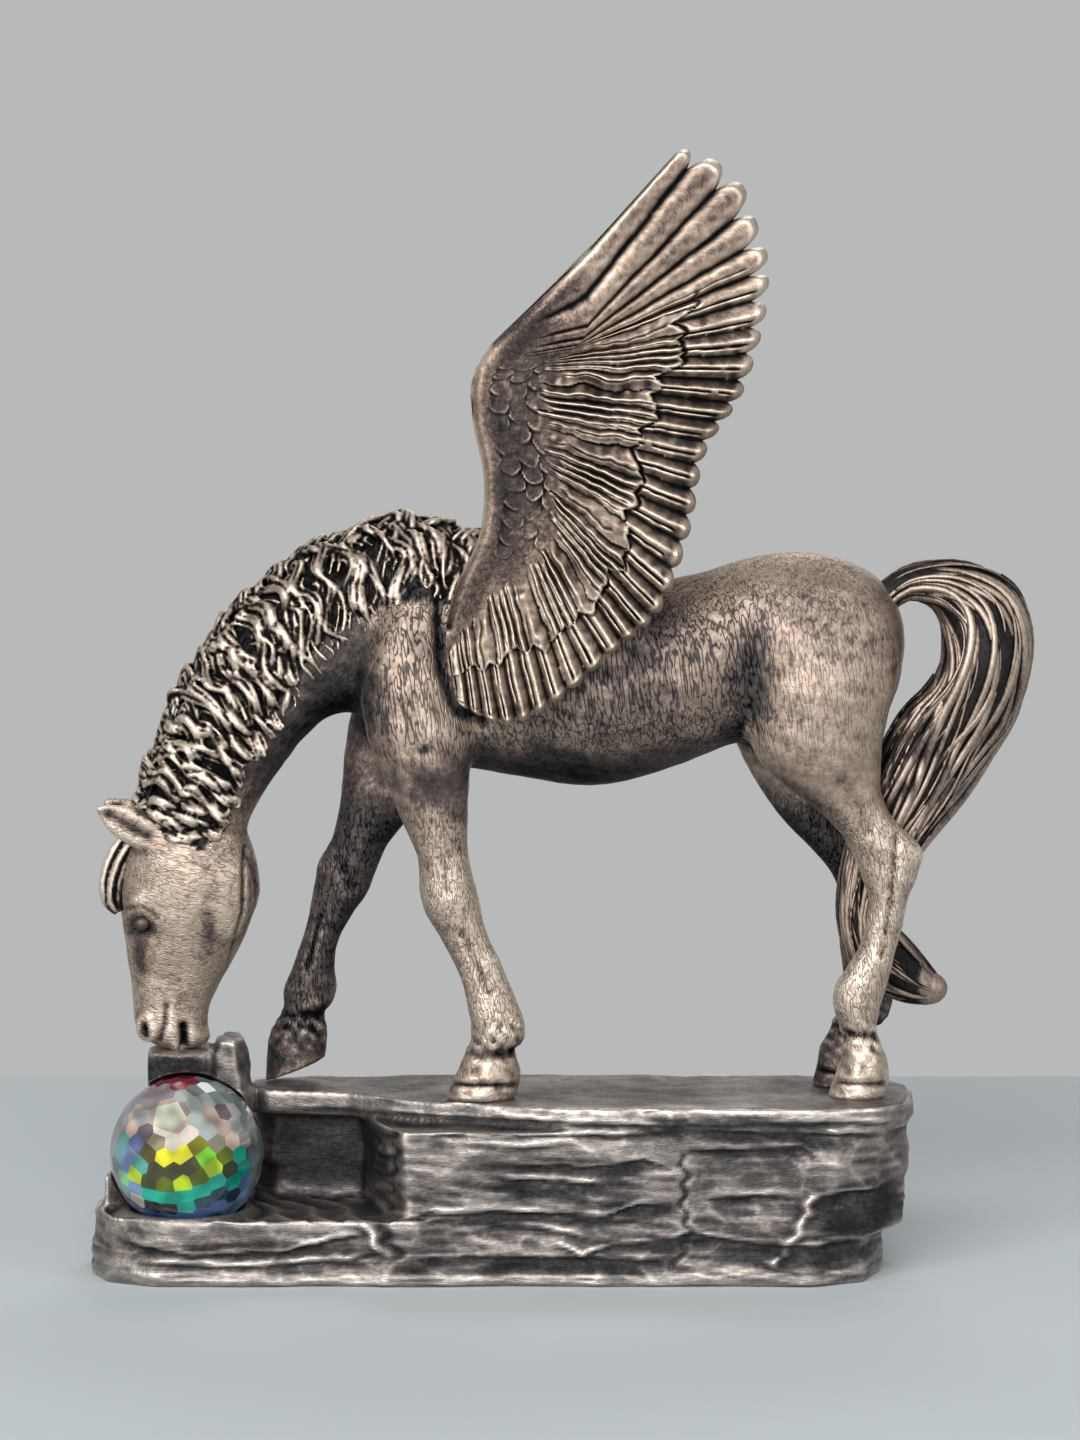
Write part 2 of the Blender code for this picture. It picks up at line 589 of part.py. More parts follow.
def make_wing(name, side, material):
    """One wing: sections along the crest of each feather and along the groove after it, joined in turn."""
    bm = bmesh.new()
    sections = [wing_ring(bm, LEADING_LINE, side, 0.4 * FEATHER_GROOVE, 0)]
    each = (len(FEATHER_LINES) - 1) / (FEATHERS - 1)
    for number in range(FEATHERS):
        if number < BROAD_FEATHERS:
            for shift in (-0.22, 0.22):
                place = max(0.0, number + shift) * each
                sections.append(wing_ring(bm, blend(FEATHER_LINES, place), side, 0, abs(shift) * TIP_NOTCH))
        else:
            sections.append(wing_ring(bm, blend(FEATHER_LINES, number * each), side, 0, 0))
        if number < FEATHERS - 1:
            notch = FEATHER_NOTCH + TIP_NOTCH * max(0.0, 1 - number / BROAD_FEATHERS)
            between = blend(FEATHER_LINES, (number + 0.5) * each)
            sections.append(wing_ring(bm, between, side, FEATHER_GROOVE, notch))
    sections.append(wing_ring(bm, ROOT_LINE, side, FEATHER_GROOVE, 0))
    for before, after in zip(sections, sections[1:]):
        bmesh.ops.bridge_loops(bm, edges=before + after)
    for end in (sections[0], sections[-1]):
        bmesh.ops.edgeloop_fill(bm, edges=end)
    bmesh.ops.triangulate(bm, faces=bm.faces)
    return piece(name, bm, material)


def stratum(bm, outline, z0, z1, grow, draw):
    """One layer of stone: an outline whose edge wanders, with worn rims above and below."""
    length = max(x for x, y in SHELF_OUTLINE) * TABLE_UNIT
    half = max(abs(y) for x, y in SHELF_OUTLINE) * TABLE_UNIT
    middle = sum((Vector(point) for point in outline), Vector((0, 0))) / len(outline) * TABLE_UNIT
    corners = []
    for x, y in outline:
        spot = Vector((x * TABLE_UNIT, y * TABLE_UNIT * ROCK_DEPTH / 2 / half))
        away = spot - middle
        away = Vector((away.x / length, away.y / half)).normalized()
        spot += away * (grow + draw.uniform(-EDGE_WANDER, EDGE_WANDER))
        corners.append(bm.verts.new((spot.x, spot.y, z0)))
    floor = bm.faces.new(corners)
    raised = bmesh.ops.extrude_face_region(bm, geom=[floor], use_keep_orig=True)["geom"]
    lifted = [g for g in raised if isinstance(g, bmesh.types.BMVert)]
    bmesh.ops.translate(bm, vec=(0, 0, z1 - z0), verts=lifted)
    top = next(g for g in raised if isinstance(g, bmesh.types.BMFace))
    rims = list(floor.edges) + list(top.edges)
    bmesh.ops.bevel(bm, geom=rims, offset=STRATUM_EDGE, segments=1, affect="EDGES")


def make_rock(material):
    """The rock: a low shelf, the mass behind and beside its bay, and a post under the muzzle."""
    draw = random.Random(11)
    bm = bmesh.new()
    rise = LEDGE_HEIGHT / STRATA
    for number in range(STRATA):
        z0, z1 = number * rise, (number + 1) * rise
        grow = draw.uniform(-STRATUM_STEP, 0) if 0 < number < STRATA - 1 else 0
        if z1 < SHELF_HEIGHT:
            stratum(bm, SHELF_OUTLINE, max(0, z0 - STRATUM_EDGE), z1 + STRATUM_EDGE, grow, draw)
        elif number < STRATA - 1:
            stratum(bm, MASS_OUTLINE, z0 - 2 * STRATUM_EDGE, z1 + STRATUM_EDGE, grow, draw)
        else:
            stratum(bm, TOP_OUTLINE, z0 - STRATUM_EDGE, z1, grow, draw)
    stratum(bm, SHELF_OUTLINE, SHELF_HEIGHT - 1.2 * rise, SHELF_HEIGHT, -STRATUM_STEP, draw)
    chin = GROUND + HEAD[-1][1] * TABLE_UNIT
    seat = chin - SEAT_GAP - ROCK_SKIN
    stratum(bm, POST_OUTLINE, rise, seat, 0, draw)
    stratum(bm, LUMP_OUTLINE, rise, seat + LUMP_RISE, 0, draw)
    stratum(bm, SPUR_OUTLINE, rise, SHELF_HEIGHT + 1.3 * rise, 0, draw)
    rock = piece("rock_base", bm, material)
    fuse(rock, ROCK_VOXEL, 2)
    hollow = bmesh.new()
    radius = BALL_DIAMETER / 2 + SEAT_GAP + ROCK_SKIN
    bmesh.ops.create_icosphere(hollow, subdivisions=3, radius=radius, matrix=Matrix.Translation(BALL_CENTRE))
    boolean(rock, helper("ball_socket", hollow), "DIFFERENCE")
    fuse(rock, ROCK_VOXEL, 1)
    thin(rock, ROCK_KEEP)
    return rock


def make_ball(material):
    """The ball, cut all over with flat facets in staggered rows round its table."""
    bm = bmesh.new()
    bmesh.ops.create_cube(bm, size=2 * BALL_DIAMETER, matrix=Matrix.Translation(BALL_CENTRE))
    axis = Vector(TABLE_AXIS).normalized()
    turn = axis.to_track_quat("Z", "Y")
    reach = BALL_DIAMETER / 2 * math.cos(math.pi / 2 / FACET_ROWS)
    for row in range(FACET_ROWS + 1):
        polar = math.pi * row / FACET_ROWS
        count = max(1, round(FACETS_ROUND * math.sin(polar)))
        for number in range(count):
            spin = 2 * math.pi * (number + 0.5 * (row % 2)) / count
            level = (math.sin(polar) * math.cos(spin), math.sin(polar) * math.sin(spin), math.cos(polar))
            facing = turn @ Vector(level)
            cut = bmesh.ops.bisect_plane(
                bm,
                geom=bm.verts[:] + bm.edges[:] + bm.faces[:],
                plane_co=BALL_CENTRE + facing * reach,
                plane_no=facing,
                clear_outer=True,
            )
            rim = [g for g in cut["geom_cut"] if isinstance(g, bmesh.types.BMEdge)]
            bmesh.ops.edgeloop_fill(bm, edges=rim)
    return piece("crystal_ball", bm, material)


def clear_scene():
    for obj in list(bpy.data.objects):
        bpy.data.objects.remove(obj)


clear_scene()
parts = bpy.data.collections.new("winged_horse_on_rock")
cutters = bpy.data.collections.new("cutters")
bpy.context.scene.collection.children.link(parts)
bpy.context.scene.collection.children.link(cutters)
pewter = metal("pewter", (0.50, 0.47, 0.43), 0.38)
make_horse(pewter)
make_wing("near_wing", -1, pewter)
make_wing("far_wing", 1, pewter)
make_rock(pewter)
make_ball(crystal("crystal"))
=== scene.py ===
"""An antiqued pewter winged horse with a coated crystal ball, on its rock base."""

import math
import random

import bmesh
import bpy
import numpy as np
from mathutils import Matrix, Vector


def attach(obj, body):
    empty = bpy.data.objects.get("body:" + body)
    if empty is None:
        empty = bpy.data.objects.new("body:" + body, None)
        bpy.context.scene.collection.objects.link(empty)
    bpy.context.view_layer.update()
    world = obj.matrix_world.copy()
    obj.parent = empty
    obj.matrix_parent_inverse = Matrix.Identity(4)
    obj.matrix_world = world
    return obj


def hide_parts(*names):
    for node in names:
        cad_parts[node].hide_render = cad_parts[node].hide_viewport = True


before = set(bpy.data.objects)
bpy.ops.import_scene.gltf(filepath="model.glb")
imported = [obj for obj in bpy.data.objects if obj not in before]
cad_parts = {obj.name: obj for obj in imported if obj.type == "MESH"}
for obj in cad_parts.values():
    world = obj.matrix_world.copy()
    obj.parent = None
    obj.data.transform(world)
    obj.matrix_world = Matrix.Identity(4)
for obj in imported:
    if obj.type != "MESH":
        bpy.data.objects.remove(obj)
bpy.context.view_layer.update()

# The rock base. One pewter casting: thin strata of slate stacked into a ledge, with a bay at the front
# left, a low shelf with a rounded socket for the ball, a spur behind it, and a post under the muzzle.
# It was carved in wax, cast, blackened, and polished back so that only the raised stone is bright.
# Painted shadow under the ledges and painted highlight along their lips are added to its colour.

MM = 0.001
LEDGE_HEIGHT = 13.8 * MM
SHELF_HEIGHT = 5.4 * MM
ROCK_DEPTH = 17.6 * MM
STRATA = 7
STRATUM_STEP = 0.25 * MM
STRATUM_EDGE = 0.15 * MM
EDGE_WANDER = 0.2 * MM
LUMP_RISE = 0.8 * MM
SOLDER_GAP = 0.3 * MM
ROCK_SKIN = 0.15 * MM
GROUND = LEDGE_HEIGHT + SOLDER_GAP
MUZZLE_HEIGHT = 3.4 * MM
BALL_DIAMETER = 12.0 * MM
BALL_CENTRE = Vector((-24.8 * MM, -3.6 * MM, SHELF_HEIGHT - 1.7 * MM + BALL_DIAMETER / 2))
ACROSS = Vector((0, 1, 0))

# Outlines seen from above, in millimetres, from the left end along the front.
TOP_OUTLINE = [
    (-20.4, 3.0), (-18.8, 1.0), (-12.0, -0.4), (-8.6, -3.4), (-4.5, -5.4), (1.5, -7.0), (6.0, -8.4),
    (12.0, -8.6), (18.0, -8.4), (24.0, -8.6), (29.0, -7.8), (31.6, -5.4), (32.4, -1.0), (32.2, 4.0),
    (30.0, 7.8), (23.0, 8.6), (13.0, 8.4), (2.0, 8.6), (-8.0, 8.4), (-16.0, 8.2), (-20.2, 6.6),
]
MASS_OUTLINE = [
    (-20.0, 4.0), (-18.4, 2.0), (-11.2, 1.6), (-10.4, -2.0), (-9.2, -5.8), (-7.6, -8.2), (0.0, -8.6),
    (7.0, -8.4), (14.0, -8.7), (20.0, -8.3), (26.0, -8.6), (29.4, -6.8), (31.9, -2.4), (31.7, 3.6),
    (29.6, 7.6), (22.0, 8.4), (12.0, 8.6), (2.0, 8.2), (-8.0, 8.6), (-16.0, 8.2), (-21.0, 7.0),
]
SHELF_OUTLINE = [
    (-32.4, -3.0), (-30.8, -6.8), (-27.0, -8.6), (-20.0, -8.8), (-14.0, -8.4), (-7.0, -8.8), (0.0, -8.5),
    (8.0, -8.7), (16.0, -8.4), (24.0, -8.7), (28.4, -6.8), (30.0, -2.0), (29.8, 3.6), (27.8, 7.4),
    (20.0, 8.5), (9.0, 8.3), (-3.0, 8.6), (-14.0, 8.4), (-24.0, 8.2), (-30.2, 6.6), (-32.4, 2.4),
]
POST_OUTLINE = [
    (-27.9, -2.2), (-25.4, -3.0), (-22.9, -2.4), (-22.4, 2.0), (-23.6, 4.4), (-26.6, 4.2), (-28.2, 1.6),
]
LUMP_OUTLINE = [(-22.2, -1.4), (-20.6, -1.8), (-19.8, 0.8), (-20.4, 3.6), (-22.0, 4.2), (-22.6, 1.6)]
SPUR_OUTLINE = [
    (-31.2, -3.6), (-29.4, -2.6), (-27.0, 2.0), (-22.0, 4.0), (-22.0, 7.4), (-28.6, 6.0), (-31.0, 2.0),
]

# Ledges on the front, as lines of (x, height above the table) in millimetres, with how far the stone below
# each one is set back and how far down that reaches.
LEDGES = [
    ([(-18.0, 12.6), (-8.0, 12.9), (0.0, 13.0), (9.0, 12.8), (16.0, 12.7), (24.0, 13.0), (31.0, 12.7)], 0.18, 0.5),
    ([(-5.6, 12.2), (0.0, 12.1), (8.7, 11.9), (13.0, 12.3), (21.0, 12.2), (30.5, 11.8)], 0.22, 0.35),
    ([(-4.0, 11.3), (2.0, 11.0), (6.5, 11.3)], 0.15, 0.4),
    ([(-0.3, 9.6), (6.7, 9.4), (9.5, 9.9), (11.0, 10.1), (13.8, 9.1)], 0.32, 0.8),
    ([(-1.6, 8.6), (3.0, 8.4), (8.5, 8.0)], 0.62, 1.9),
    ([(13.4, 10.9), (18.1, 10.9), (23.2, 10.9), (25.0, 10.0)], 0.55, 2.6),
    ([(-7.6, 5.8), (0.0, 5.9), (7.7, 5.6), (10.8, 6.6), (14.2, 6.7)], 0.75, 1.3),
    ([(14.7, 7.0), (19.4, 7.2), (23.7, 6.9)], 0.60, 2.4),
    ([(23.9, 7.2), (30.2, 7.6)], 0.70, 3.0),
    ([(-5.2, 4.1), (0.0, 4.7), (3.0, 4.6), (7.2, 3.8)], 0.25, 0.5),
    ([(3.0, 3.9), (6.1, 2.5), (8.7, 3.4), (12.9, 3.8), (14.2, 4.3), (20.0, 3.4), (29.5, 3.2)], 0.30, 0.8),
    ([(-7.8, 2.3), (-2.0, 2.4), (5.0, 2.4), (13.0, 2.2)], 0.40, 0.9),
    ([(-31.0, 0.9), (-20.0, 0.8), (-7.8, 0.6), (2.5, 0.7), (12.9, 0.6), (18.0, 1.3), (23.0, 0.6), (29.5, 1.2)], -0.25, 0.4),
    ([(-30.5, 3.6), (-24.0, 2.6), (-17.0, 2.9), (-9.5, 4.6)], 0.40, 0.8),
    ([(-29.0, 2.0), (-20.0, 1.7), (-12.0, 2.2), (-8.5, 3.2)], 0.35, 0.6),
]
# Dark patches of stone, partly slate left dark and partly painted shade, as in the bay and on the post under the
# muzzle:
# middle along and above the table, half width, half height, and how dark.
SLATE_AND_SHADE = [
    (-14.0, 9.5, 6.5, 4.0, 0.40),
    (-25.7, 15.4, 3.2, 4.2, 0.55),
    (17.5, 12.4, 9.0, 1.2, 0.42),
    (0.0, 12.2, 6.0, 0.8, 0.22),
    (5.0, 9.2, 7.0, 1.0, 0.34),
    (20.5, 11.0, 6.5, 1.0, 0.30),
    (3.5, 7.9, 8.0, 1.0, 0.30),
    (2.0, 5.3, 10.0, 0.9, 0.34),
    (10.0, 6.2, 4.0, 0.9, 0.30),
    (28.0, 5.8, 4.2, 2.8, 0.42),
    (2.0, 1.9, 13.0, 1.1, 0.40),
    (12.0, 3.4, 7.0, 0.9, 0.32),
    (23.0, 2.4, 8.0, 1.0, 0.34),
    (-20.0, 2.9, 7.5, 0.9, 0.34),
]
CRACKS = [
    ([(13.8, 10.2), (14.2, 8.6), (13.9, 6.6), (14.6, 4.0), (13.4, 1.8)], 0.20, 0.28),
    ([(23.9, 7.0), (23.0, 4.6), (21.2, 2.0)], -0.50, 0.5),
    ([(-8.6, 11.5), (-8.9, 8.0), (-9.4, 4.4), (-8.2, 2.6)], 0.45, 0.5),
    ([(-10.6, 5.0), (-9.6, 3.2)], -0.35, 0.4),
]


def at(x, height, y=0.0):
    """A point given in millimetres along the horse and above its hooves, and metres across."""
    return Vector((x * MM, y, GROUND + height * MM))


def ease(low, high, value):
    """0 below low, 1 above high, and a soft step between them."""
    share = np.clip((value - low) / (high - low), 0.0, 1.0)
    return share * share * (3 - 2 * share)


def blend(rows, place):
    """The row at a place between 0 and len(rows) - 1, on a smooth curve through the rows."""
    last = len(rows) - 1
    index = min(int(place), last - 1)
    share = place - index
    before, here = rows[max(index - 1, 0)], rows[index]
    ahead, beyond = rows[index + 1], rows[min(index + 2, last)]
    mixed = []
    for p0, p1, p2, p3 in zip(before, here, ahead, beyond):
        bend = 2 * p0 - 5 * p1 + 4 * p2 - p3
        twist = 3 * (p1 - p2) + p3 - p0
        mixed.append(p1 + 0.5 * share * (p2 - p0 + share * (bend + share * twist)))
    return mixed


def cast(name, bm, voxel=None, rounding=2, keep=None):
    """A named object from a bmesh. With a voxel size its forms are fused into one skin, as in the mould, and
    keep is the share of its faces that is kept where it is flat."""
    bmesh.ops.recalc_face_normals(bm, faces=bm.faces)
    mesh = bpy.data.meshes.new(name)
    bm.to_mesh(mesh)
    bm.free()
    piece = bpy.data.objects.new(name, mesh)
    bpy.context.scene.collection.objects.link(piece)
    if voxel:
        join = piece.modifiers.new("Fuse", "REMESH")
        join.mode = "VOXEL"
        join.voxel_size = voxel
        soften = piece.modifiers.new("Soften", "SMOOTH")
        soften.factor = 0.5
        soften.iterations = rounding
        if keep:
            thin = piece.modifiers.new("Thin", "DECIMATE")
            thin.ratio = keep
        graph = bpy.context.evaluated_depsgraph_get()
        fused = bpy.data.meshes.new_from_object(piece.evaluated_get(graph))
        piece.modifiers.clear()
        piece.data = fused
        bpy.data.meshes.remove(mesh)
    return piece


def skin(piece):
    """A piece's points and their outward directions, as arrays in millimetres."""
    mesh = piece.data
    points = np.empty(len(mesh.vertices) * 3, np.float32)
    mesh.vertices.foreach_get("co", points)
    facing = np.empty(len(mesh.vertices) * 3, np.float32)
    mesh.vertex_normals.foreach_get("vector", facing)
    return points.reshape(-1, 3) / MM, facing.reshape(-1, 3)


def reshape(piece, points):
    """Moves a piece's points to new places, given in millimetres."""
    piece.data.vertices.foreach_set("co", (points * MM).astype(np.float32).ravel())
    piece.data.update()


def relaxed(piece, points, rounds):
    """The points after each has moved towards its neighbours' middle a number of times."""
    pairs = np.empty(len(piece.data.edges) * 2, np.int32)
    piece.data.edges.foreach_get("vertices", pairs)
    first, second = pairs.reshape(-1, 2).T
    total = len(points)
    count = np.bincount(first, minlength=total) + np.bincount(second, minlength=total)
    eased = points.copy()
    for _ in range(rounds):
        middle = np.empty_like(eased)
        for axis in range(3):
            near = np.bincount(first, eased[second, axis], total)
            near += np.bincount(second, eased[first, axis], total)
            middle[:, axis] = near / np.maximum(count, 1)
        eased += 0.5 * (middle - eased)
    return eased


def note(piece, name, values):
    """Keeps one number for each point of the piece, for its material to read."""
    layer = piece.data.attributes.new(name, "FLOAT", "POINT")
    layer.data.foreach_set("value", values.astype(np.float32))


def note_hollows(piece, fine=3, broad=24, fine_depth=0.05, broad_depth=0.35, more=0.0, darkest=1.2):
    """Notes how deep each point lies: 0.5 on flat metal, more in hollows, less on edges and crests; the argument more
    is added on top, and the callers use it for painted shade and highlights.
    """
    points, facing = skin(piece)
    near = relaxed(piece, points, fine)
    far = relaxed(piece, near, broad)
    fine_part = ((near - points) * facing).sum(1) / fine_depth
    broad_part = ((far - points) * facing).sum(1) / broad_depth
    depth = 0.5 + 0.45 * np.tanh(fine_part) + 0.45 * np.tanh(broad_part)
    note(piece, "hollow", np.clip(depth + more, 0, darkest))


def smooth_shaded(piece):
    """Shades the whole skin smooth."""
    piece.data.polygons.foreach_set("use_smooth", [True] * len(piece.data.polygons))


def wavy(points, pitch, seed):
    """A smooth pattern between -1 and 1 over the points, with waves of about the given pitch."""
    draw = np.random.default_rng(seed)
    total = np.zeros(len(points))
    for _ in range(6):
        heading = draw.normal(size=3)
        heading *= 2 * math.pi / (pitch * draw.uniform(0.7, 1.5) * np.linalg.norm(heading))
        total += np.sin(points @ heading + draw.uniform(0, 6.28))
    return total / 6


def from_line(flat, path):
    """How far each of the flat points lies from a path."""
    nearest = np.full(len(flat), 1e9)
    for start, end in zip(path, path[1:]):
        start, end = np.array(start), np.array(end)
        along = end - start
        share = np.clip(((flat - start) @ along) / (along @ along), 0, 1)
        nearest = np.minimum(nearest, np.linalg.norm(flat - start - share[:, None] * along, axis=1))
    return nearest


def stratum(bm, outline, z0, z1, grow, draw):
    """One layer of stone: an outline whose edge wanders, with worn rims above and below."""
    half = max(abs(y) for x, y in SHELF_OUTLINE) * MM
    middle = sum((Vector(point) for point in outline), Vector((0, 0))) / len(outline) * MM
    corners = []
    for x, y in outline:
        spot = Vector((x * MM, y * MM * ROCK_DEPTH / 2 / half))
        spot += (spot - middle).normalized() * (grow + draw.uniform(-EDGE_WANDER, EDGE_WANDER))
        corners.append(bm.verts.new((spot.x, spot.y, z0)))
    floor = bm.faces.new(corners)
    raised = bmesh.ops.extrude_face_region(bm, geom=[floor], use_keep_orig=True)["geom"]
    lifted = [g for g in raised if isinstance(g, bmesh.types.BMVert)]
    bmesh.ops.translate(bm, vec=(0, 0, z1 - z0), verts=lifted)
    top = next(g for g in raised if isinstance(g, bmesh.types.BMFace))
    rims = list(floor.edges) + list(top.edges)
    bmesh.ops.bevel(bm, geom=rims, offset=STRATUM_EDGE, segments=1, profile=0.5, affect="EDGES", material=-1)


def rock_mass():
    """The strata, the post, the lump and the spur, all in one bmesh."""
    draw = random.Random(11)
    bm = bmesh.new()
    top_height = GROUND + 0.05 * MM
    rise = top_height / STRATA
    for number in range(STRATA):
        z0, z1 = number * rise, (number + 1) * rise
        grow = draw.uniform(-STRATUM_STEP, 0) if 0 < number < STRATA - 1 else 0
        if z1 < SHELF_HEIGHT:
            stratum(bm, SHELF_OUTLINE, max(0, z0 - STRATUM_EDGE), z1 + STRATUM_EDGE, grow, draw)
        elif number < STRATA - 1:
            stratum(bm, MASS_OUTLINE, z0 - 2 * STRATUM_EDGE, z1 + STRATUM_EDGE, grow, draw)
        else:
            stratum(bm, TOP_OUTLINE, z0 - STRATUM_EDGE, z1, grow, draw)
    stratum(bm, SHELF_OUTLINE, SHELF_HEIGHT - 1.2 * rise, SHELF_HEIGHT, -STRATUM_STEP, draw)
    seat = GROUND + MUZZLE_HEIGHT
    stratum(bm, POST_OUTLINE, rise, seat, 0, draw)
    stratum(bm, LUMP_OUTLINE, rise, seat + LUMP_RISE, 0, draw)
    stratum(bm, SPUR_OUTLINE, rise, SHELF_HEIGHT + 1.3 * rise, 0, draw)
    return bm


def pewter(name, strokes, relief=0.5, grain=0.35, tones=(0.70, 0.39, 0.12), warmth=1.0):
    """Antiqued pewter. strokes lists the engraved hatching: the way it runs as a turn about X, Y and Z, its
    length and spacing in millimetres, the noted number that says where it is (None for all over), its
    strength, and the noted place that it follows instead of the object's own axes."""
    material = bpy.data.materials.new(name)
    material.use_nodes = True
    nodes, links = material.node_tree.nodes, material.node_tree.links
    shader = nodes["Principled BSDF"]
    shader.inputs["Metallic"].default_value = 1.0
    place = nodes.new("ShaderNodeTexCoord")

    def noted(name, socket="Fac"):
        node = nodes.new("ShaderNodeAttribute")
        node.attribute_name = name
        return node.outputs[socket]

    def combine(operation, first, second=0.0):
        node = nodes.new("ShaderNodeMath")
        node.operation = operation
        for socket, value in zip(node.inputs, (first, second)):
            if hasattr(value, "links"):
                links.new(value, socket)
            else:
                socket.default_value = value
        return node.outputs[0]

    def noise(pitch, detail, turn=(0, 0, 0), stretch=1.0, rough=0.5, follow=None):
        """Noise between -0.5 and 0.5, its grains pitch wide and stretch times as long along the turned Z."""
        source = noted(follow, "Vector") if follow else place.outputs["Object"]
        if stretch != 1.0:
            turned = nodes.new("ShaderNodeMapping")
            turned.inputs["Rotation"].default_value = [math.radians(a) for a in turn]
            links.new(source, turned.inputs["Vector"])
            squeeze = nodes.new("ShaderNodeMapping")
            squeeze.inputs["Scale"].default_value = (1, 1, 1 / stretch)
            links.new(turned.outputs["Vector"], squeeze.inputs["Vector"])
            source = squeeze.outputs["Vector"]
        texture = nodes.new("ShaderNodeTexNoise")
        texture.inputs["Scale"].default_value = 1 / (pitch * MM)
        texture.inputs["Detail"].default_value = detail
        texture.inputs["Roughness"].default_value = rough
        links.new(source, texture.inputs["Vector"])
        return combine("SUBTRACT", texture.outputs[0], 0.5)

    height = combine("MULTIPLY", noise(0.42, 3.0, rough=0.6), grain)
    for turn, length, pitch, where, strength, *follow in strokes:
        hatch = noise(pitch, 1.0, turn, length / pitch, follow=follow[0] if follow else None)
        crisp = nodes.new("ShaderNodeMapRange")
        crisp.interpolation_type = "SMOOTHSTEP"
        crisp.inputs["From Min"].default_value = 0.005
        crisp.inputs["From Max"].default_value = 0.075
        crisp.inputs["To Min"].default_value = -strength
        crisp.inputs["To Max"].default_value = strength * 0.5
        links.new(combine("ABSOLUTE", hatch), crisp.inputs["Value"])
        cut_marks = crisp.outputs["Result"]
        if where:
            cut_marks = combine("MULTIPLY", cut_marks, noted(where))
        height = combine("ADD", height, cut_marks)
    # Black oxide stays in the hollows and in the cut of each stroke; rubbing clears it from the crests.
    # The noted hollows also carry the painted shade and highlights that each piece is given.
    oxide_and_shade = combine("SUBTRACT", noted("hollow"), combine("MULTIPLY", height, 0.6))
    oxide_and_shade = combine("ADD", oxide_and_shade, combine("MULTIPLY", noise(2.6, 4.0), 0.30))
    tone = nodes.new("ShaderNodeValToRGB")
    bright, middle, low = tones
    ramp = tone.color_ramp
    ramp.elements[0].position = 0.10
    ramp.elements[0].color = (bright, bright * (1 - 0.12 * warmth), bright * (1 - 0.27 * warmth), 1)
    ramp.elements[1].position = 1.0
    ramp.elements[1].color = (0.006, 0.006, 0.006, 1)
    for position, colour in (
        (0.44, (middle, middle * (1 - 0.23 * warmth), middle * (1 - 0.38 * warmth))),
        (0.66, (low, low * (1 - 0.22 * warmth), low * (1 - 0.29 * warmth))),
        (0.84, (low * 0.34, low * 0.34, low * 0.35)),
    ):
        stop = ramp.elements.new(position)
        stop.color = (*colour, 1)
    links.new(oxide_and_shade, tone.inputs["Fac"])
    links.new(tone.outputs["Color"], shader.inputs["Base Color"])
    gloss = nodes.new("ShaderNodeMapRange")
    gloss.inputs["From Min"].default_value = 0.2
    gloss.inputs["From Max"].default_value = 0.8
    gloss.inputs["To Min"].default_value = 0.47
    gloss.inputs["To Max"].default_value = 0.66
    links.new(oxide_and_shade, gloss.inputs["Value"])
    links.new(gloss.outputs["Result"], shader.inputs["Roughness"])
    bump = nodes.new("ShaderNodeBump")
    bump.inputs["Strength"].default_value = 1.0
    bump.inputs["Distance"].default_value = relief * 0.12 * MM
    links.new(height, bump.inputs["Height"])
    links.new(bump.outputs["Normal"], shader.inputs["Normal"])
    return material


def finished(piece, material, node):
    """Gives a piece its metal, and lets it stand for its solid."""
    piece.data.materials.clear()
    piece.data.materials.append(material)
    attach(piece, "root")
    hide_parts(node)


def ledge_marks(spots):
    """How far the stone is set back under its ledges, how much painted highlight each lip gets, and how much painted
    shadow falls below each one.
    """
    x, y, z = spots.T
    drift = 0.14 * wavy(spots * (1, 0, 0.1), 7, 1) + 0.08 * wavy(spots * (1, 0, 0.1), 1.8, 2)
    back, lip_highlight, shade = np.zeros((3, len(spots)))
    for path, depth, reach in LEDGES:
        line = np.interp(x, *zip(*path)) + drift
        ends = ease(0, 3.2, x - path[0][0]) * ease(0, 3.2, path[-1][0] - x)
        ends = ends * np.clip(0.8 + 0.6 * wavy(spots * (1, 0, 0), 3.0, 13), 0.2, 1.2)
        below = line - z
        under = ease(-0.02, 0.20, below) * np.exp(-np.clip(below - 0.2, 0, None) / (1.3 * reach))
        lip = ends * np.exp(-(((below + 0.15) / 0.15) ** 2))
        back += 0.85 * depth * ends * under - 0.10 * lip
        lip_highlight = np.maximum(lip_highlight, lip)
        shade = np.maximum(shade, ends * under * np.clip(depth * 2, 0, 1))
    return back, lip_highlight, shade


rock = cast("rock", rock_mass(), 0.24 * MM, 3)
spots, facing = skin(rock)
eased = relaxed(rock, spots, 10)
spots = eased + (facing * ((spots - eased) * facing).sum(1)[:, None]) * 0.3
upright = np.clip(1.5 * (1 - np.abs(facing[:, 2])) - 0.25, 0, 1)
x, y, z = spots.T
back, lip_highlight, shade = ledge_marks(spots)
for path, depth, width in CRACKS:
    gap = from_line(np.stack([x + 0.2 * np.sin(z * 4.1), z], 1), path)
    back += depth * np.exp(-((gap / width) ** 2))
back += 0.12 * wavy(spots * (0.4, 0.4, 2.0), 3.4, 3) + 0.08 * wavy(spots * (0.2, 0.2, 2.6), 1.1, 4)
back += 0.55 * np.abs(wavy(spots * (0.8, 0.8, 1.2), 5.5, 5)) - 0.15
back += 0.16 * np.abs(wavy(spots * (1, 1, 1.5) + z[:, None] * (0.5, 0, 0), 3.0, 14)) - 0.05
bay = np.clip((-9.5 - x) / 2, 0, 1) * np.clip((z - 5.2) / 1, 0, 1)
near_ball = np.linalg.norm(spots - np.array(BALL_CENTRE) / MM, axis=1)
free = np.clip((near_ball - 6.6) / 0.8, 0, 1) * np.clip((14.6 - z) / 0.5, 0.25, 1)
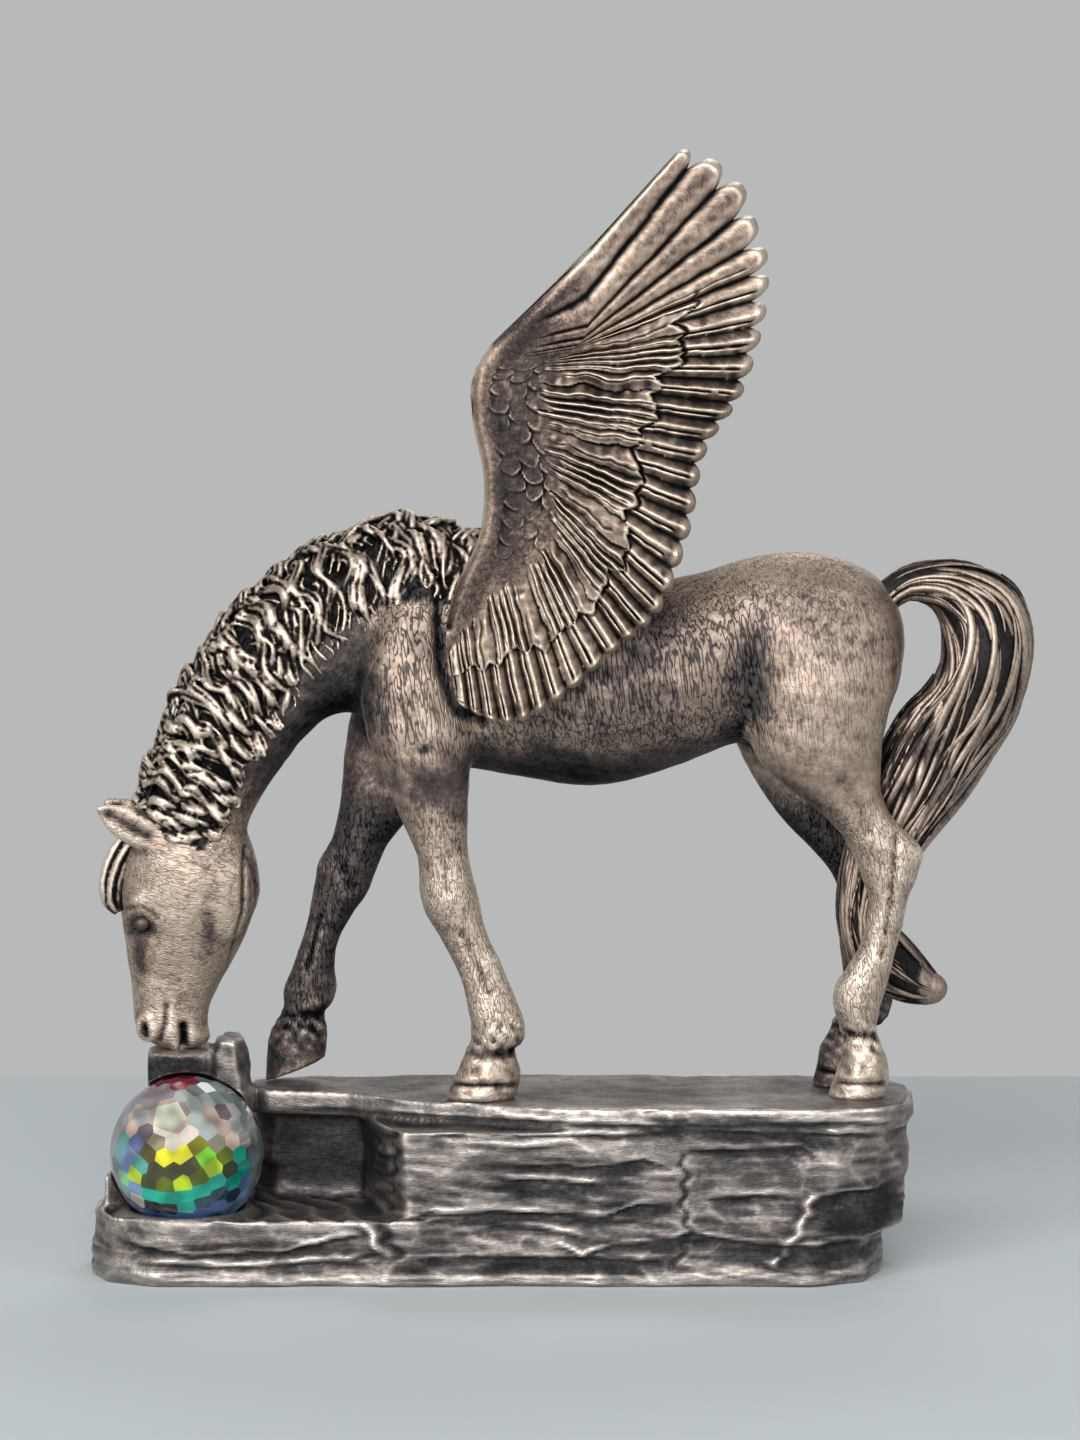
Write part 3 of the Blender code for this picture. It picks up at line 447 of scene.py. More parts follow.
flat_top = np.clip((facing[:, 2] - 0.6) / 0.3, 0, 1)
rough = wavy(spots, 1.7, 21) * wavy(spots, 2.9, 22)
back += 0.45 * np.exp(-(((z - GROUND / MM + 0.3) / 0.5) ** 2)) * rough
hooves = np.ones(len(spots))
for hoof_x, hoof_y in ((-1.6, -4.4), (27.7, -3.7), (26.5, 1.9), (-16.6, 3.9)):
    away = np.hypot((x - hoof_x) / 3.2, (y - hoof_y) / 2.6)
    hooves = np.minimum(hooves, np.clip(away * 2 - 1.4, 0, 1))
move = -(back * (1 - 0.7 * bay)) * upright * free
stipple = 0.12 * wavy(spots, 2.6, 6) + 0.10 * rough
shelf_folds = 0.35 * np.abs(np.sin(1.1 * x + 0.55 * y + 0.8 * np.sin(0.7 * y))) * (z < 8)
move -= flat_top * free * hooves * (0.12 + stipple + shelf_folds + 0.22 * np.clip(wavy(spots, 9, 9) + 0.3, 0, 1))
move[z < 0.15] = 0
spots = spots + facing * move[:, None]
lump = np.clip((x + 23.4) / 0.6, 0, 1) * np.clip(z - 14.2, 0, None) * (x < -17)
spots[:, 0] -= 0.16 * lump * np.clip((x + 23.4) / 3, 0, 1)
spots += facing * (0.16 * (lump > 0) * wavy(spots, 1.6, 12))[:, None]
reshape(rock, spots)
hollow_ball = bmesh.new()
bmesh.ops.create_icosphere(
    hollow_ball,
    subdivisions=5,
    radius=BALL_DIAMETER / 2 + SOLDER_GAP,
    matrix=Matrix.Translation(BALL_CENTRE),
)
socket = cast("socket", hollow_ball)
hollowing = rock.modifiers.new("Socket", "BOOLEAN")
hollowing.object = socket
hollowing.operation = "DIFFERENCE"
hollowing.solver = "EXACT"
carved = bpy.data.meshes.new_from_object(rock.evaluated_get(bpy.context.evaluated_depsgraph_get()))
rock.modifiers.clear()
rock.data = carved
bpy.data.objects.remove(socket)
smooth_shaded(rock)
spots, facing = skin(rock)
x, y, z = spots.T
# Dark patches on the stone: partly slate left dark, partly painted shade in the bay and on the post under the muzzle.
slate_and_shade = np.zeros(len(spots))
ragged = 0.16 * wavy(spots * (0.6, 0.6, 1.6), 2.2, 18) + 0.06 * wavy(spots * (1, 1, 2), 0.7, 19)
for x0, z0, wide, tall, amount in SLATE_AND_SHADE:
    reach = np.hypot((x - x0) / wide, (z - z0) / tall) + ragged
    slate_and_shade = np.maximum(slate_and_shade, amount * np.clip(2.2 - 2.2 * reach, 0, 1))
slate_and_shade *= np.clip(1.5 - 2.5 * np.abs(facing[:, 2]), 0, 1)
level = np.clip((facing[:, 2] - 0.7) / 0.2, 0, 1) * 0.03
back, lip_highlight, shade = ledge_marks(spots)
side_on = np.clip(1.5 - 2 * np.abs(facing[:, 2]), 0, 1)
# Painted shadow below each ledge and painted highlight along each lip, then a random change of tone.
slate_and_shade += (0.22 * shade - 0.22 * lip_highlight) * side_on + 0.10 * wavy(spots * (0.5, 0.5, 1.4), 5.0, 16) + 0.05
# Painted highlight along the top edge of the stone.
top_edge_highlight = np.exp(-(((z - GROUND / MM + 0.15) / 0.35) ** 2)) * side_on * np.clip(0.7 + 0.8 * wavy(spots, 1.1, 17), 0, 1)
note_hollows(rock, 2, 16, 0.15, 0.50, slate_and_shade + level - 0.22 * top_edge_highlight, 0.83)
STONE = pewter("stone_pewter", [((0, 90, 0), 2.0, 0.32, None, 0.05)], 1.0, 0.36, (0.71, 0.31, 0.105), 0.5)
finished(rock, STONE, "rock_base")

# The horse. One pewter casting without its mane and tail: barrel, neck, head and four legs. The sculptor
# engraved the whole coat with short strokes that follow the hair, and polished the hooves and joints.

BODY_WIDTH = 13.2 * MM
NECK_WIDTH = 6.6 * MM
HEAD_WIDTH = 7.0 * MM
SHOULDER_SPREAD = 8.0 * MM
HIP_SPREAD = 7.4 * MM
LEG_WIDTH = 3.2 * MM
HOOF_WIDTH = 4.0 * MM
NEAR_FRONT_HOOF_Y = -4.4 * MM
FAR_FRONT_HOOF_Y = 3.9 * MM
NEAR_HIND_HOOF_Y = -3.7 * MM
FAR_HIND_HOOF_Y = 1.9 * MM
EAR_LENGTH = 5.6 * MM

# Side outlines, in millimetres from the origin and above the hooves: the front or upper point, the rear
# or lower one, and the share of the form's full width at that station.
TORSO = [
    (-11.4, 32.0, -11.0, 29.8, 0.30),
    (-9.8, 37.6, -9.9, 27.6, 0.66),
    (-6.5, 41.0, -6.6, 25.9, 0.84),
    (-3.0, 42.4, -2.6, 25.5, 0.90),
    (1.5, 41.8, 1.3, 24.8, 0.94),
    (6.5, 40.7, 6.8, 24.1, 1.00),
    (11.0, 40.2, 10.8, 24.8, 1.00),
    (15.0, 40.9, 15.5, 26.4, 0.95),
    (18.6, 42.0, 18.5, 27.6, 0.92),
    (22.5, 42.7, 22.5, 27.2, 0.94),
    (26.4, 42.2, 26.5, 28.0, 0.90),
    (29.4, 40.7, 29.6, 29.0, 0.74),
    (31.1, 38.4, 30.9, 31.4, 0.46),
    (31.6, 36.2, 31.4, 33.6, 0.16),
]
NECK = [
    (1.5, 40.5, -6.0, 27.0, 1.35),
    (-1.8, 43.0, -8.6, 28.0, 1.45),
    (-6.8, 44.7, -11.3, 29.8, 1.30),
    (-12.9, 43.4, -13.6, 29.6, 1.12),
    (-17.6, 40.6, -15.8, 27.8, 0.98),
    (-21.6, 36.9, -17.6, 25.4, 0.92),
    (-24.4, 32.5, -19.0, 23.4, 0.88),
    (-26.4, 28.4, -20.0, 21.4, 0.88),
    (-27.7, 24.4, -20.4, 19.4, 0.88),
    (-28.4, 21.0, -21.4, 18.0, 0.80),
]
HEAD = [
    (-26.9, 24.6, -22.0, 23.2, 0.45),
    (-28.8, 21.8, -20.2, 20.6, 0.84),
    (-30.0, 18.6, -19.3, 17.6, 0.98),
    (-30.3, 15.8, -19.3, 15.3, 1.00),
    (-30.1, 13.5, -20.1, 12.9, 0.92),
    (-29.8, 11.2, -21.1, 10.7, 0.78),
    (-29.5, 9.0, -22.2, 8.8, 0.66),
    (-29.3, 7.2, -23.1, 6.9, 0.60),
    (-29.2, 5.7, -23.4, 5.4, 0.62),
    (-28.7, 4.4, -23.1, 4.2, 0.56),
    (-27.2, 3.4, -23.8, 3.4, 0.36),
]
NEAR_FRONT_LEG = [
    (-9.0, 38.2, -3.9, 38.2, 1.00),
    (-10.7, 34.0, -3.3, 34.4, 1.55),
    (-11.1, 31.0, -2.7, 31.0, 1.80),
    (-10.5, 27.6, -2.4, 27.4, 1.75),
    (-9.2, 24.5, -2.4, 24.4, 1.50),
    (-8.0, 21.8, -2.6, 21.5, 1.28),
    (-6.9, 19.6, -2.7, 19.6, 1.10),
    (-6.5, 18.0, -2.4, 17.9, 1.08),
    (-6.5, 16.3, -1.9, 15.9, 1.10),
    (-6.1, 14.7, -1.5, 14.0, 1.00),
    (-5.1, 13.0, -1.0, 12.5, 0.84),
    (-4.1, 11.2, -0.2, 10.8, 0.78),
    (-3.3, 9.4, 0.6, 9.0, 0.78),
    (-2.9, 7.9, 1.2, 7.4, 0.86),
    (-2.6, 6.4, 1.8, 5.7, 0.98),
    (-2.5, 4.9, 1.5, 4.5, 0.94),
    (-2.8, 4.0, 0.9, 3.9, 0.82),
]
NEAR_FRONT_HOOF = [
    (-2.8, 4.0, 0.9, 3.9, 0.65),
    (-3.3, 3.0, 1.2, 2.8, 0.84),
    (-3.7, 2.0, 1.4, 1.8, 0.94),
    (-4.1, 1.0, 1.2, 0.9, 0.98),
    (-4.5, 0.0, 0.9, 0.0, 1.00),
]
FAR_FRONT_LEG = [
    (-9.4, 36.0, -3.5, 36.0, 1.20),
    (-11.4, 32.6, -3.4, 32.6, 1.65),
    (-12.4, 29.2, -4.0, 28.5, 1.70),
    (-12.8, 26.4, -5.0, 25.0, 1.55),
    (-13.1, 23.0, -7.0, 21.6, 1.30),
    (-13.6, 19.9, -9.1, 19.3, 1.08),
    (-14.7, 17.8, -10.1, 17.1, 1.06),
    (-15.2, 15.6, -10.9, 15.2, 1.06),
    (-15.5, 13.7, -12.1, 13.4, 0.90),
    (-16.1, 11.5, -13.1, 11.6, 0.78),
    (-16.9, 9.2, -13.5, 9.6, 0.78),
    (-17.6, 7.5, -13.3, 7.8, 0.90),
    (-17.6, 6.2, -13.6, 6.6, 0.94),
    (-18.0, 5.2, -14.4, 5.7, 0.82),
]
FAR_FRONT_HOOF = [
    (-18.0, 5.2, -14.4, 5.7, 0.65),
    (-18.7, 3.9, -14.1, 4.4, 0.86),
    (-18.9, 2.7, -14.1, 3.4, 0.95),
    (-19.0, 1.3, -14.2, 2.7, 0.98),
    (-19.1, 0.1, -14.3, 2.0, 1.00),
]
NEAR_HIND_LEG = [
    (20.5, 38.0, 30.2, 38.0, 1.20),
    (19.1, 33.0, 30.8, 33.5, 1.85),
    (18.8, 29.2, 29.9, 28.8, 1.90),
    (20.0, 26.0, 29.6, 25.8, 1.65),
    (22.1, 24.2, 29.7, 24.0, 1.40),
    (24.1, 22.7, 30.2, 22.5, 1.18),
    (25.9, 21.1, 31.5, 21.0, 1.02),
    (27.2, 19.2, 32.8, 19.5, 0.96),
    (28.0, 17.3, 32.4, 17.6, 0.92),
    (28.5, 15.6, 31.6, 15.5, 0.84),
    (28.3, 13.6, 31.2, 13.3, 0.76),
    (27.8, 11.8, 30.7, 11.6, 0.76),
    (26.9, 10.3, 30.4, 10.2, 0.82),
    (26.0, 9.0, 30.0, 8.8, 0.94),
    (25.8, 7.5, 29.6, 7.4, 0.96),
    (26.1, 6.2, 29.3, 6.0, 0.86),
    (26.6, 5.0, 29.4, 4.8, 0.84),
]
NEAR_HIND_HOOF = [
    (26.6, 5.0, 29.4, 4.8, 0.66),
    (26.6, 3.9, 29.9, 3.6, 0.80),
    (26.2, 2.4, 30.2, 2.2, 0.94),
    (25.7, 0.9, 30.1, 0.8, 0.98),
    (25.4, 0.0, 29.9, 0.0, 1.00),
]
FAR_HIND_LEG = [
    (20.0, 37.5, 30.0, 37.5, 1.20),
    (18.3, 31.5, 30.4, 32.0, 1.80),
    (18.2, 27.6, 29.5, 27.8, 1.75),
    (19.9, 24.0, 29.3, 24.3, 1.48),
    (21.9, 21.3, 29.5, 22.0, 1.22),
    (24.3, 19.0, 30.2, 20.4, 1.04),
    (26.0, 17.0, 30.9, 18.6, 0.96),
    (26.7, 15.2, 30.6, 16.2, 0.88),
    (26.8, 13.4, 29.9, 13.8, 0.78),
    (26.7, 11.6, 29.8, 11.6, 0.76),
    (26.9, 9.6, 30.4, 9.4, 0.82),
    (27.0, 7.9, 31.0, 7.2, 0.94),
    (26.6, 6.2, 30.4, 5.3, 0.92),
    (26.0, 4.7, 28.9, 4.2, 0.82),
]
FAR_HIND_HOOF = [
    (26.0, 4.7, 28.9, 4.2, 0.65),
    (25.2, 3.2, 28.6, 2.8, 0.82),
    (24.9, 1.6, 28.6, 1.4, 0.94),
    (24.5, 0.0, 28.4, 0.0, 1.00),
]
# The tail also states how far it swings across.
TAIL = [
    (28.6, 39.6, 29.8, 37.2, 0.40, 0.0),
    (31.6, 41.4, 31.6, 38.7, 0.50, 0.0),
    (35.0, 41.8, 33.5, 38.4, 0.66, -0.3),
    (38.0, 41.1, 34.4, 37.3, 0.80, -0.5),
    (40.2, 39.4, 34.7, 35.8, 0.90, -0.6),
    (41.2, 36.4, 34.4, 33.9, 0.98, -0.7),
    (41.1, 33.0, 33.3, 31.9, 1.00, -0.6),
    (40.1, 29.5, 31.6, 30.2, 0.94, -0.4),
    (38.1, 26.5, 30.2, 28.0, 0.84, -0.2),
    (35.9, 23.2, 29.0, 25.0, 0.70, -0.4),
    (33.3, 19.8, 27.8, 21.5, 0.54, -0.6),
    (31.3, 16.6, 26.9, 18.0, 0.44, -0.7),
    (30.3, 13.8, 26.7, 13.6, 0.42, -0.7),
    (31.0, 12.6, 28.0, 9.4, 0.42, -0.5),
    (32.4, 11.0, 30.8, 7.4, 0.42, -0.2),
    (34.0, 9.2, 33.2, 7.0, 0.34, 0.0),
    (34.9, 8.3, 34.6, 7.4, 0.18, 0.0),
]
FORELOCK = [
    (-28.2, 21.6, -27.4, 20.6, 0.22),
    (-30.2, 19.6, -28.6, 18.8, 0.30),
    (-31.2, 17.2, -29.2, 17.0, 0.30),
    (-31.2, 15.2, -29.6, 15.2, 0.22),
    (-30.4, 14.2, -29.9, 14.4, 0.08),
]
# An ear from root to tip: the place along it, and its half width and half thickness over its length.
EAR_SECTIONS = [(0, 0.20, 0.17), (0.3, 0.27, 0.17), (0.6, 0.25, 0.13), (0.9, 0.11, 0.08), (1, 0.04, 0.05)]
# Hollows pressed into the flesh: place along and above the hooves, depth, half width, half height, side.
HORSE_HOLLOWS = [
    (-28.4, 13.3, 0.36, 1.0, 0.85, None),
    (-28.7, 11.0, 0.16, 0.7, 1.9, None),
    (-28.35, 4.8, 1.0, 0.52, 0.95, None),
    (-23.0, 14.0, 0.10, 0.6, 1.3, None),
    (-26.0, 9.3, 0.12, 1.3, 1.6, None),
    (19.2, 33.0, 0.35, 2.2, 4.5, None),
    (-5.9, 27.5, 0.22, 0.5, 0.4, -1),
    (22.5, 29.8, 0.15, 2.5, 1.6, None),
    (28.8, 35.0, 0.15, 2.0, 2.6, None),
    (-9.6, 24.8, 0.15, 0.8, 2.0, None),
    (4.0, 27.0, 0.12, 3.5, 2.5, None),
]
# Grooves between muscles, tendons and horn: the path, its depth and its width.
HORSE_GROOVES = [
    ([(19.6, 29.0), (19.4, 33.0), (20.3, 38.0)], 0.16, 1.2),
    ([(-20.3, 19.5), (-20.4, 14.5), (-21.7, 10.0), (-23.2, 6.2)], 0.16, 0.17),
    ([(-26.5, 7.0), (-26.6, 5.6), (-27.0, 4.2)], 0.18, 0.26),
    ([(-25.1, 5.3), (-25.05, 2.6)], 0.90, 0.34),
    ([(-29.6, 14.7), (-28.4, 15.0), (-27.0, 14.2)], 0.10, 0.20),
    ([(-7.6, 31.0), (-6.4, 27.0), (-5.6, 23.5)], 0.14, 0.9),
    ([(-9.2, 28.5), (-8.2, 25.0)], 0.08, 0.6),
    ([(-4.6, 18.9), (-4.2, 16.6)], 0.10, 0.5),
    ([(-3.1, 13.2), (-1.1, 8.6)], 0.12, 0.32),
    ([(-3.2, 3.8), (1.2, 3.6)], 0.24, 0.34),
    ([(-4.6, 1.3), (-1.5, 1.4), (1.4, 1.15)], 0.26, 0.20),
    ([(30.6, 20.8), (30.2, 16.0), (29.6, 11.5)], 0.14, 0.32),
    ([(26.0, 5.2), (30.0, 4.9)], 0.22, 0.32),
    ([(24.6, 1.5), (30.2, 1.2)], 0.20, 0.20),
    ([(26.4, 25.0), (28.4, 21.6)], 0.12, 0.7),
    ([(29.2, 27.0), (31.0, 22.6)], 0.12, 0.4),
    ([(-12.9, 18.0), (-12.0, 16.0)], 0.10, 0.5),
    ([(-14.6, 13.5), (-15.6, 9.5)], 0.12, 0.30),
    ([(-18.2, 5.4), (-14.2, 5.9)], 0.05, 0.25),
    ([(-27.8, 20.4), (-30.7, 22.1)], 0.42, 0.70),
    ([(-4.9, 41.5), (-4.9, 37.5), (-4.6, 33.5), (-3.4, 30.6), (-1.7, 29.6)], 0.40, 0.50),
]
# Patches of painted shade, as under the wing, on the belly, in the nostrils and round the eyes: middle along and above
# the hooves, half sizes, and how dark.
SHADED = [
    (18.6, 34.0, 2.8, 6.0, 0.24),
    (11.5, 36.0, 7.5, 4.5, 0.26),
    (5.0, 24.4, 14.0, 3.6, 0.52),
    (8.0, 31.5, 10.0, 6.5, 0.24),
    (-7.5, 38.0, 4.0, 4.0, 0.08),
    (-10.8, 31.0, 2.6, 5.0, 0.38),
    (-28.5, 11.2, 1.0, 2.6, 0.30),
    (-28.6, 13.1, 1.6, 1.2, 0.46),
    (-25.2, 6.0, 0.7, 1.6, 0.14),
    (-28.35, 4.8, 0.65, 1.1, 0.80),
    (-25.05, 3.9, 0.55, 1.7, 0.60),
    (-22.9, 12.6, 0.8, 1.8, 0.26),
    (-19.4, 16.5, 1.3, 6.5, 0.26),
    (-6.5, 36.5, 4.5, 6.0, 0.18),
    (26.0, 38.0, 8.0, 6.0, 0.13),
    (31.2, 33.0, 1.2, 5.0, 0.22),
    (-29.2, 21.3, 1.5, 0.9, 0.18),
]


def loft(bm, rings, sides):
    """Bridges ellipses, each a centre and two half axes, and closes both ends."""
    loops = []
    for centre, along, across in rings:
        turn = Matrix((along, across, along.cross(across).normalized())).transposed().to_4x4()
        turn.translation = centre
        made = bmesh.ops.create_circle(bm, segments=sides, radius=1, matrix=turn)
        loops.append(list({edge for vert in made["verts"] for edge in vert.link_edges}))
    for lower, upper in zip(loops, loops[1:]):
        bmesh.ops.bridge_loops(bm, edges=lower + upper)
    for end in (loops[0], loops[-1]):
        bmesh.ops.edgeloop_fill(bm, edges=end)


def profile_loft(bm, rows, width, top_y=0.0, foot_y=0.0, sides=28, steps=6):
    """Lofts a form from its side outlines, drifting across from top_y to foot_y."""
    count = (len(rows) - 1) * steps
    rings = []
    for number in range(count + 1):
        row = blend(rows, number / steps)
        front, rear = at(*row[0:2]), at(*row[2:4])
        centre = (front + rear) / 2
        centre.y = top_y + (foot_y - top_y) * number / count
        if len(row) > 5:
            centre.y = row[5] * MM
        rings.append((centre, (front - rear) / 2, ACROSS * (row[4] * width / 2)))
    loft(bm, rings, sides)


def swelling(bm, x, height, y, half_length, half_width, half_height):
    """An ellipsoid of flesh or bone that raises the skin above it."""
    size = Matrix.Diagonal((half_length * MM, half_width * MM, half_height * MM, 1))
    place = Matrix.Translation(at(x, height, y)) @ size
    bmesh.ops.create_uvsphere(bm, u_segments=24, v_segments=16, radius=1, matrix=place)


def ear(bm, side):
    """A pricked ear between the poll and its tip."""
    root = at(-26.9, 20.0, side * HEAD_WIDTH * 0.30)
    point = root + Vector((-0.87, side * 0.14, 0.49)).normalized() * EAR_LENGTH
    upright = Vector((0.49, 0, 0.87))
    rings = []
    for step in range(13):
        place, wide, thick = blend(EAR_SECTIONS, step / 3)
        rings.append((root.lerp(point, place), upright * wide * EAR_LENGTH, ACROSS * thick * EAR_LENGTH))
    loft(bm, rings, 16)


def horse_flesh():
    """Barrel, neck, head, ears and legs, all in one bmesh."""
    bm = bmesh.new()
    profile_loft(bm, TORSO, BODY_WIDTH, sides=40)
    profile_loft(bm, NECK, NECK_WIDTH, sides=32)
    profile_loft(bm, HEAD, HEAD_WIDTH, sides=32)
    near, far = -SHOULDER_SPREAD / 2, SHOULDER_SPREAD / 2
    shoulder_top, hip_top = (-7.4, 40.4, -5.2, 40.4, 0.3), (23.5, 40.8, 28.0, 40.8, 0.4)
    profile_loft(bm, [shoulder_top] + NEAR_FRONT_LEG, LEG_WIDTH, near, NEAR_FRONT_HOOF_Y)
    profile_loft(bm, NEAR_FRONT_HOOF, HOOF_WIDTH, NEAR_FRONT_HOOF_Y, NEAR_FRONT_HOOF_Y)
    profile_loft(bm, [shoulder_top] + FAR_FRONT_LEG, LEG_WIDTH, far, FAR_FRONT_HOOF_Y)
    profile_loft(bm, FAR_FRONT_HOOF, HOOF_WIDTH, FAR_FRONT_HOOF_Y, FAR_FRONT_HOOF_Y)
    near, far = -HIP_SPREAD / 2, HIP_SPREAD / 2
    profile_loft(bm, [hip_top] + NEAR_HIND_LEG, LEG_WIDTH, near, NEAR_HIND_HOOF_Y)
    profile_loft(bm, NEAR_HIND_HOOF, HOOF_WIDTH, NEAR_HIND_HOOF_Y, NEAR_HIND_HOOF_Y)
    profile_loft(bm, [hip_top] + FAR_HIND_LEG, LEG_WIDTH, far, FAR_HIND_HOOF_Y)
    profile_loft(bm, FAR_HIND_HOOF, HOOF_WIDTH, FAR_HIND_HOOF_Y, FAR_HIND_HOOF_Y)
    rings = []
    for share, size in ((-1, 0.8), (-0.9, 1), (0, 1.05), (0.9, 1), (1, 0.8)):
        centre = at(4.2, 36.0, share * BODY_WIDTH / 2)
        rings.append((centre, Vector((7.4 * MM * size, 0, 0)), Vector((0, 0, 4.4 * MM * size))))
    loft(bm, rings, 24)
    for side in (-1, 1):
        ear(bm, side)
        swelling(bm, -22.9, 16.0, side * HEAD_WIDTH * 0.22, 3.3, 1.75, 4.6)
        swelling(bm, -27.4, 15.4, side * HEAD_WIDTH * 0.30, 1.9, 1.0, 0.9)
        swelling(bm, -28.0, 5.2, side * HEAD_WIDTH * 0.21, 1.0, 0.9, 1.3)
        swelling(bm, -25.6, 4.0, side * HEAD_WIDTH * 0.15, 0.9, 0.9, 0.9)
    return bm


def press(points, facing, x, height, depth, wide, tall, y=None):
    """Pushes the skin in at a place on both flanks, or on one side only: all in millimetres."""
    distance = ((points[:, 0] - x) / wide) ** 2 + ((points[:, 2] - GROUND / MM - height) / tall) ** 2
    strength = np.exp(-distance) * depth * np.clip(np.abs(facing[:, 1]) * 2 - 0.3, 0, 1)
    if y:
        strength *= points[:, 1] * y > 0
    return points - facing * strength[:, None]


def groove(points, facing, path, depth, width):
    """Cuts a soft groove along a path of (x, height) points, on skin that faces to the side."""
    flat = points[:, [0, 2]] - (0, GROUND / MM)
    sideways = np.clip(np.abs(facing[:, 1]) * 2.2 - 0.5, 0, 1)
    strength = depth * np.exp(-((from_line(flat, path) / width) ** 2)) * sideways
    return points - facing * strength[:, None]


def under_mane(points):
    """How surely each point of the horse lies under its mane, from 0 to 1."""
    flat = points[:, [0, 2]] - (0, GROUND / MM)
    best = np.full(len(flat), 1e9)
    cover = np.zeros(len(flat))
    for place in np.linspace(0.9, 8.4, 50):
        row = blend(NECK, place)
        crest, throat = np.array(row[0:2]), np.array(row[2:4])
        along = throat - crest
        share = ((flat - crest) @ along) / (along @ along)
        gap = np.linalg.norm(flat - crest - np.clip(share, 0, 1)[:, None] * along, axis=1)
        edge = (1 - math.cos(mane_reach(place))) / 2
        closer = gap < best
        cover = np.where(closer, np.clip((edge - share) / 0.05 + 0.3, 0, 1) * (gap < 0.8), cover)
        best = np.minimum(best, gap)
    return cover


def mane_reach(place):
    """How far round the neck the mane hangs, as an angle from the crest."""
    return float(np.interp(place, (1.0, 2.5, 4.0, 5.0, 7.5, 8.6), (1.15, 1.5, 1.9, 2.1, 2.3, 1.9)))


horse = cast("horse_body", horse_flesh(), 0.26 * MM, 2)
points, facing = skin(horse)
height = points[:, 2] - GROUND / MM
ahead = points[:, 0]
fleshy = np.clip((height - 19) / 4, 0, 1) * np.clip((ahead + 15) / 3, 0, 1)
points += (relaxed(horse, points, 60) - points) * fleshy[:, None]
points += (relaxed(horse, points, 8) - points) * (0.8 * np.clip((-19 - ahead) / 2, 0, 1) * (height < 21))[:, None]
for x, tall, depth, wide, high, side in HORSE_HOLLOWS:
    points = press(points, facing, x, tall, depth, wide, high, side)
for path, depth, width in HORSE_GROOVES:
    points = groove(points, facing, path, depth, width)
fetlock = np.exp(-(((height - 4.6) / 1.6) ** 2)) * (ahead > -20)
hooves = np.clip((3.4 - height) / 1.0, 0, 1) * (ahead > -20) * np.clip(height / 0.6, 0, 1)
ripple = 0.05 * wavy(points, 3.0, 8) + 0.03 * wavy(points, 1.2, 9)
ripple += 0.18 * fetlock * wavy(points, 1.0, 10) + 0.16 * hooves * (points[:, 1] < 0) * wavy(points * (1, 1, 0.7), 1.3, 11)
points += facing * ripple[:, None]
reshape(horse, points)
smooth_shaded(horse)
points, facing = skin(horse)
head_part = np.clip((-19.5 - ahead) / 1.5, 0, 1) * np.clip((23.0 - height) / 2, 0, 1)
leg_part = np.clip((25.0 - height) / 4, 0, 1) * (1 - head_part)
neck_part = np.clip((-9.0 - ahead) / 3, 0, 1) * (1 - head_part) * (1 - leg_part)
body_part = (1 - head_part) * (1 - leg_part) * (1 - neck_part)
hoof_part = np.clip((4.6 - height) / 1.0, 0, 1) * (ahead > -20)
note(horse, "on_head", head_part)
note(horse, "on_legs", leg_part * (1 - hoof_part))
note(horse, "on_neck", neck_part)
note(horse, "on_hooves", hoof_part)
note(horse, "on_body", body_part * np.clip((24 - ahead) / 5, 0.5, 1) * np.clip((height - 25.0) / 3.5, 0.12, 1))
# Painted shade on the coat: on faces turned down such as the belly, on the throat and neck, on the inner and far legs,
# in the listed patches and under the mane; the near hooves are made a little darker and the head a little lighter.
painted_shade = 0.34 * np.clip(-facing[:, 2] * 1.3 - 0.25, 0, 1) * (1 - head_part) + 0.24 * neck_part
painted_shade += 0.20 * leg_part * (facing[:, 1] * points[:, 1] < 0) + 0.20 * leg_part * (points[:, 1] > 0)
for x0, z0, wide, tall, amount in SHADED:
    patch = np.exp(-1.3 * (((ahead - x0) / wide) ** 2 + ((height - z0) / tall) ** 2) * (1 + 0.5 * wavy(points, 1.6, 20)))
    painted_shade = np.maximum(painted_shade, amount * patch * (np.abs(facing[:, 1]) > 0.3))
# Painted shade under the mane.
painted_shade = np.maximum(painted_shade, 0.55 * under_mane(points))
painted_shade += 0.10 * hoof_part * (points[:, 1] < 0) * (ahead < 10) - 0.04 * head_part
note_hollows(horse, 3, 40, 0.07, 0.75, painted_shade)
COAT = pewter(
    "coat_pewter",
    [
        ((0, 8, 0), 2.2, 0.34, "on_body", 0.26),
        ((0, -35, 0), 1.6, 0.34, "on_neck", 0.10),
        ((0, 80, 0), 1.5, 0.27, "on_head", 0.16),
        ((0, 4, 0), 1.1, 0.30, "on_legs", 0.24),
        ((0, 20, 0), 1.0, 0.7, "on_hooves", 0.10),
    ],
    0.75,
    0.60,
)
finished(horse, COAT, "horse")

# The eyes. Two small polished beads that the sculptor set into the sockets before the wax was cast.

beads = bmesh.new()
for side in (-1, 1):
    swelling(beads, -28.3, 13.5, side * 2.36 * MM, 0.62, 0.42, 0.56)
eyes = cast("eyes", beads)
smooth_shaded(eyes)
note(eyes, "hollow", np.full(len(eyes.data.vertices), 0.3))
EYE = pewter("eye_pewter", [], 0.1, 0.1, (0.12, 0.10, 0.05))
finished(eyes, EYE, "horse")

# The mane and forelock. Thick wavy locks, rolled and pressed on one by one in wax, that spill from the
# crest down both sides of the neck and leave deep black gaps between them.

STRAND_THICKNESS = 0.42 * MM
LOCKS = 25
MANE_GRAIN = 0.13 * MM


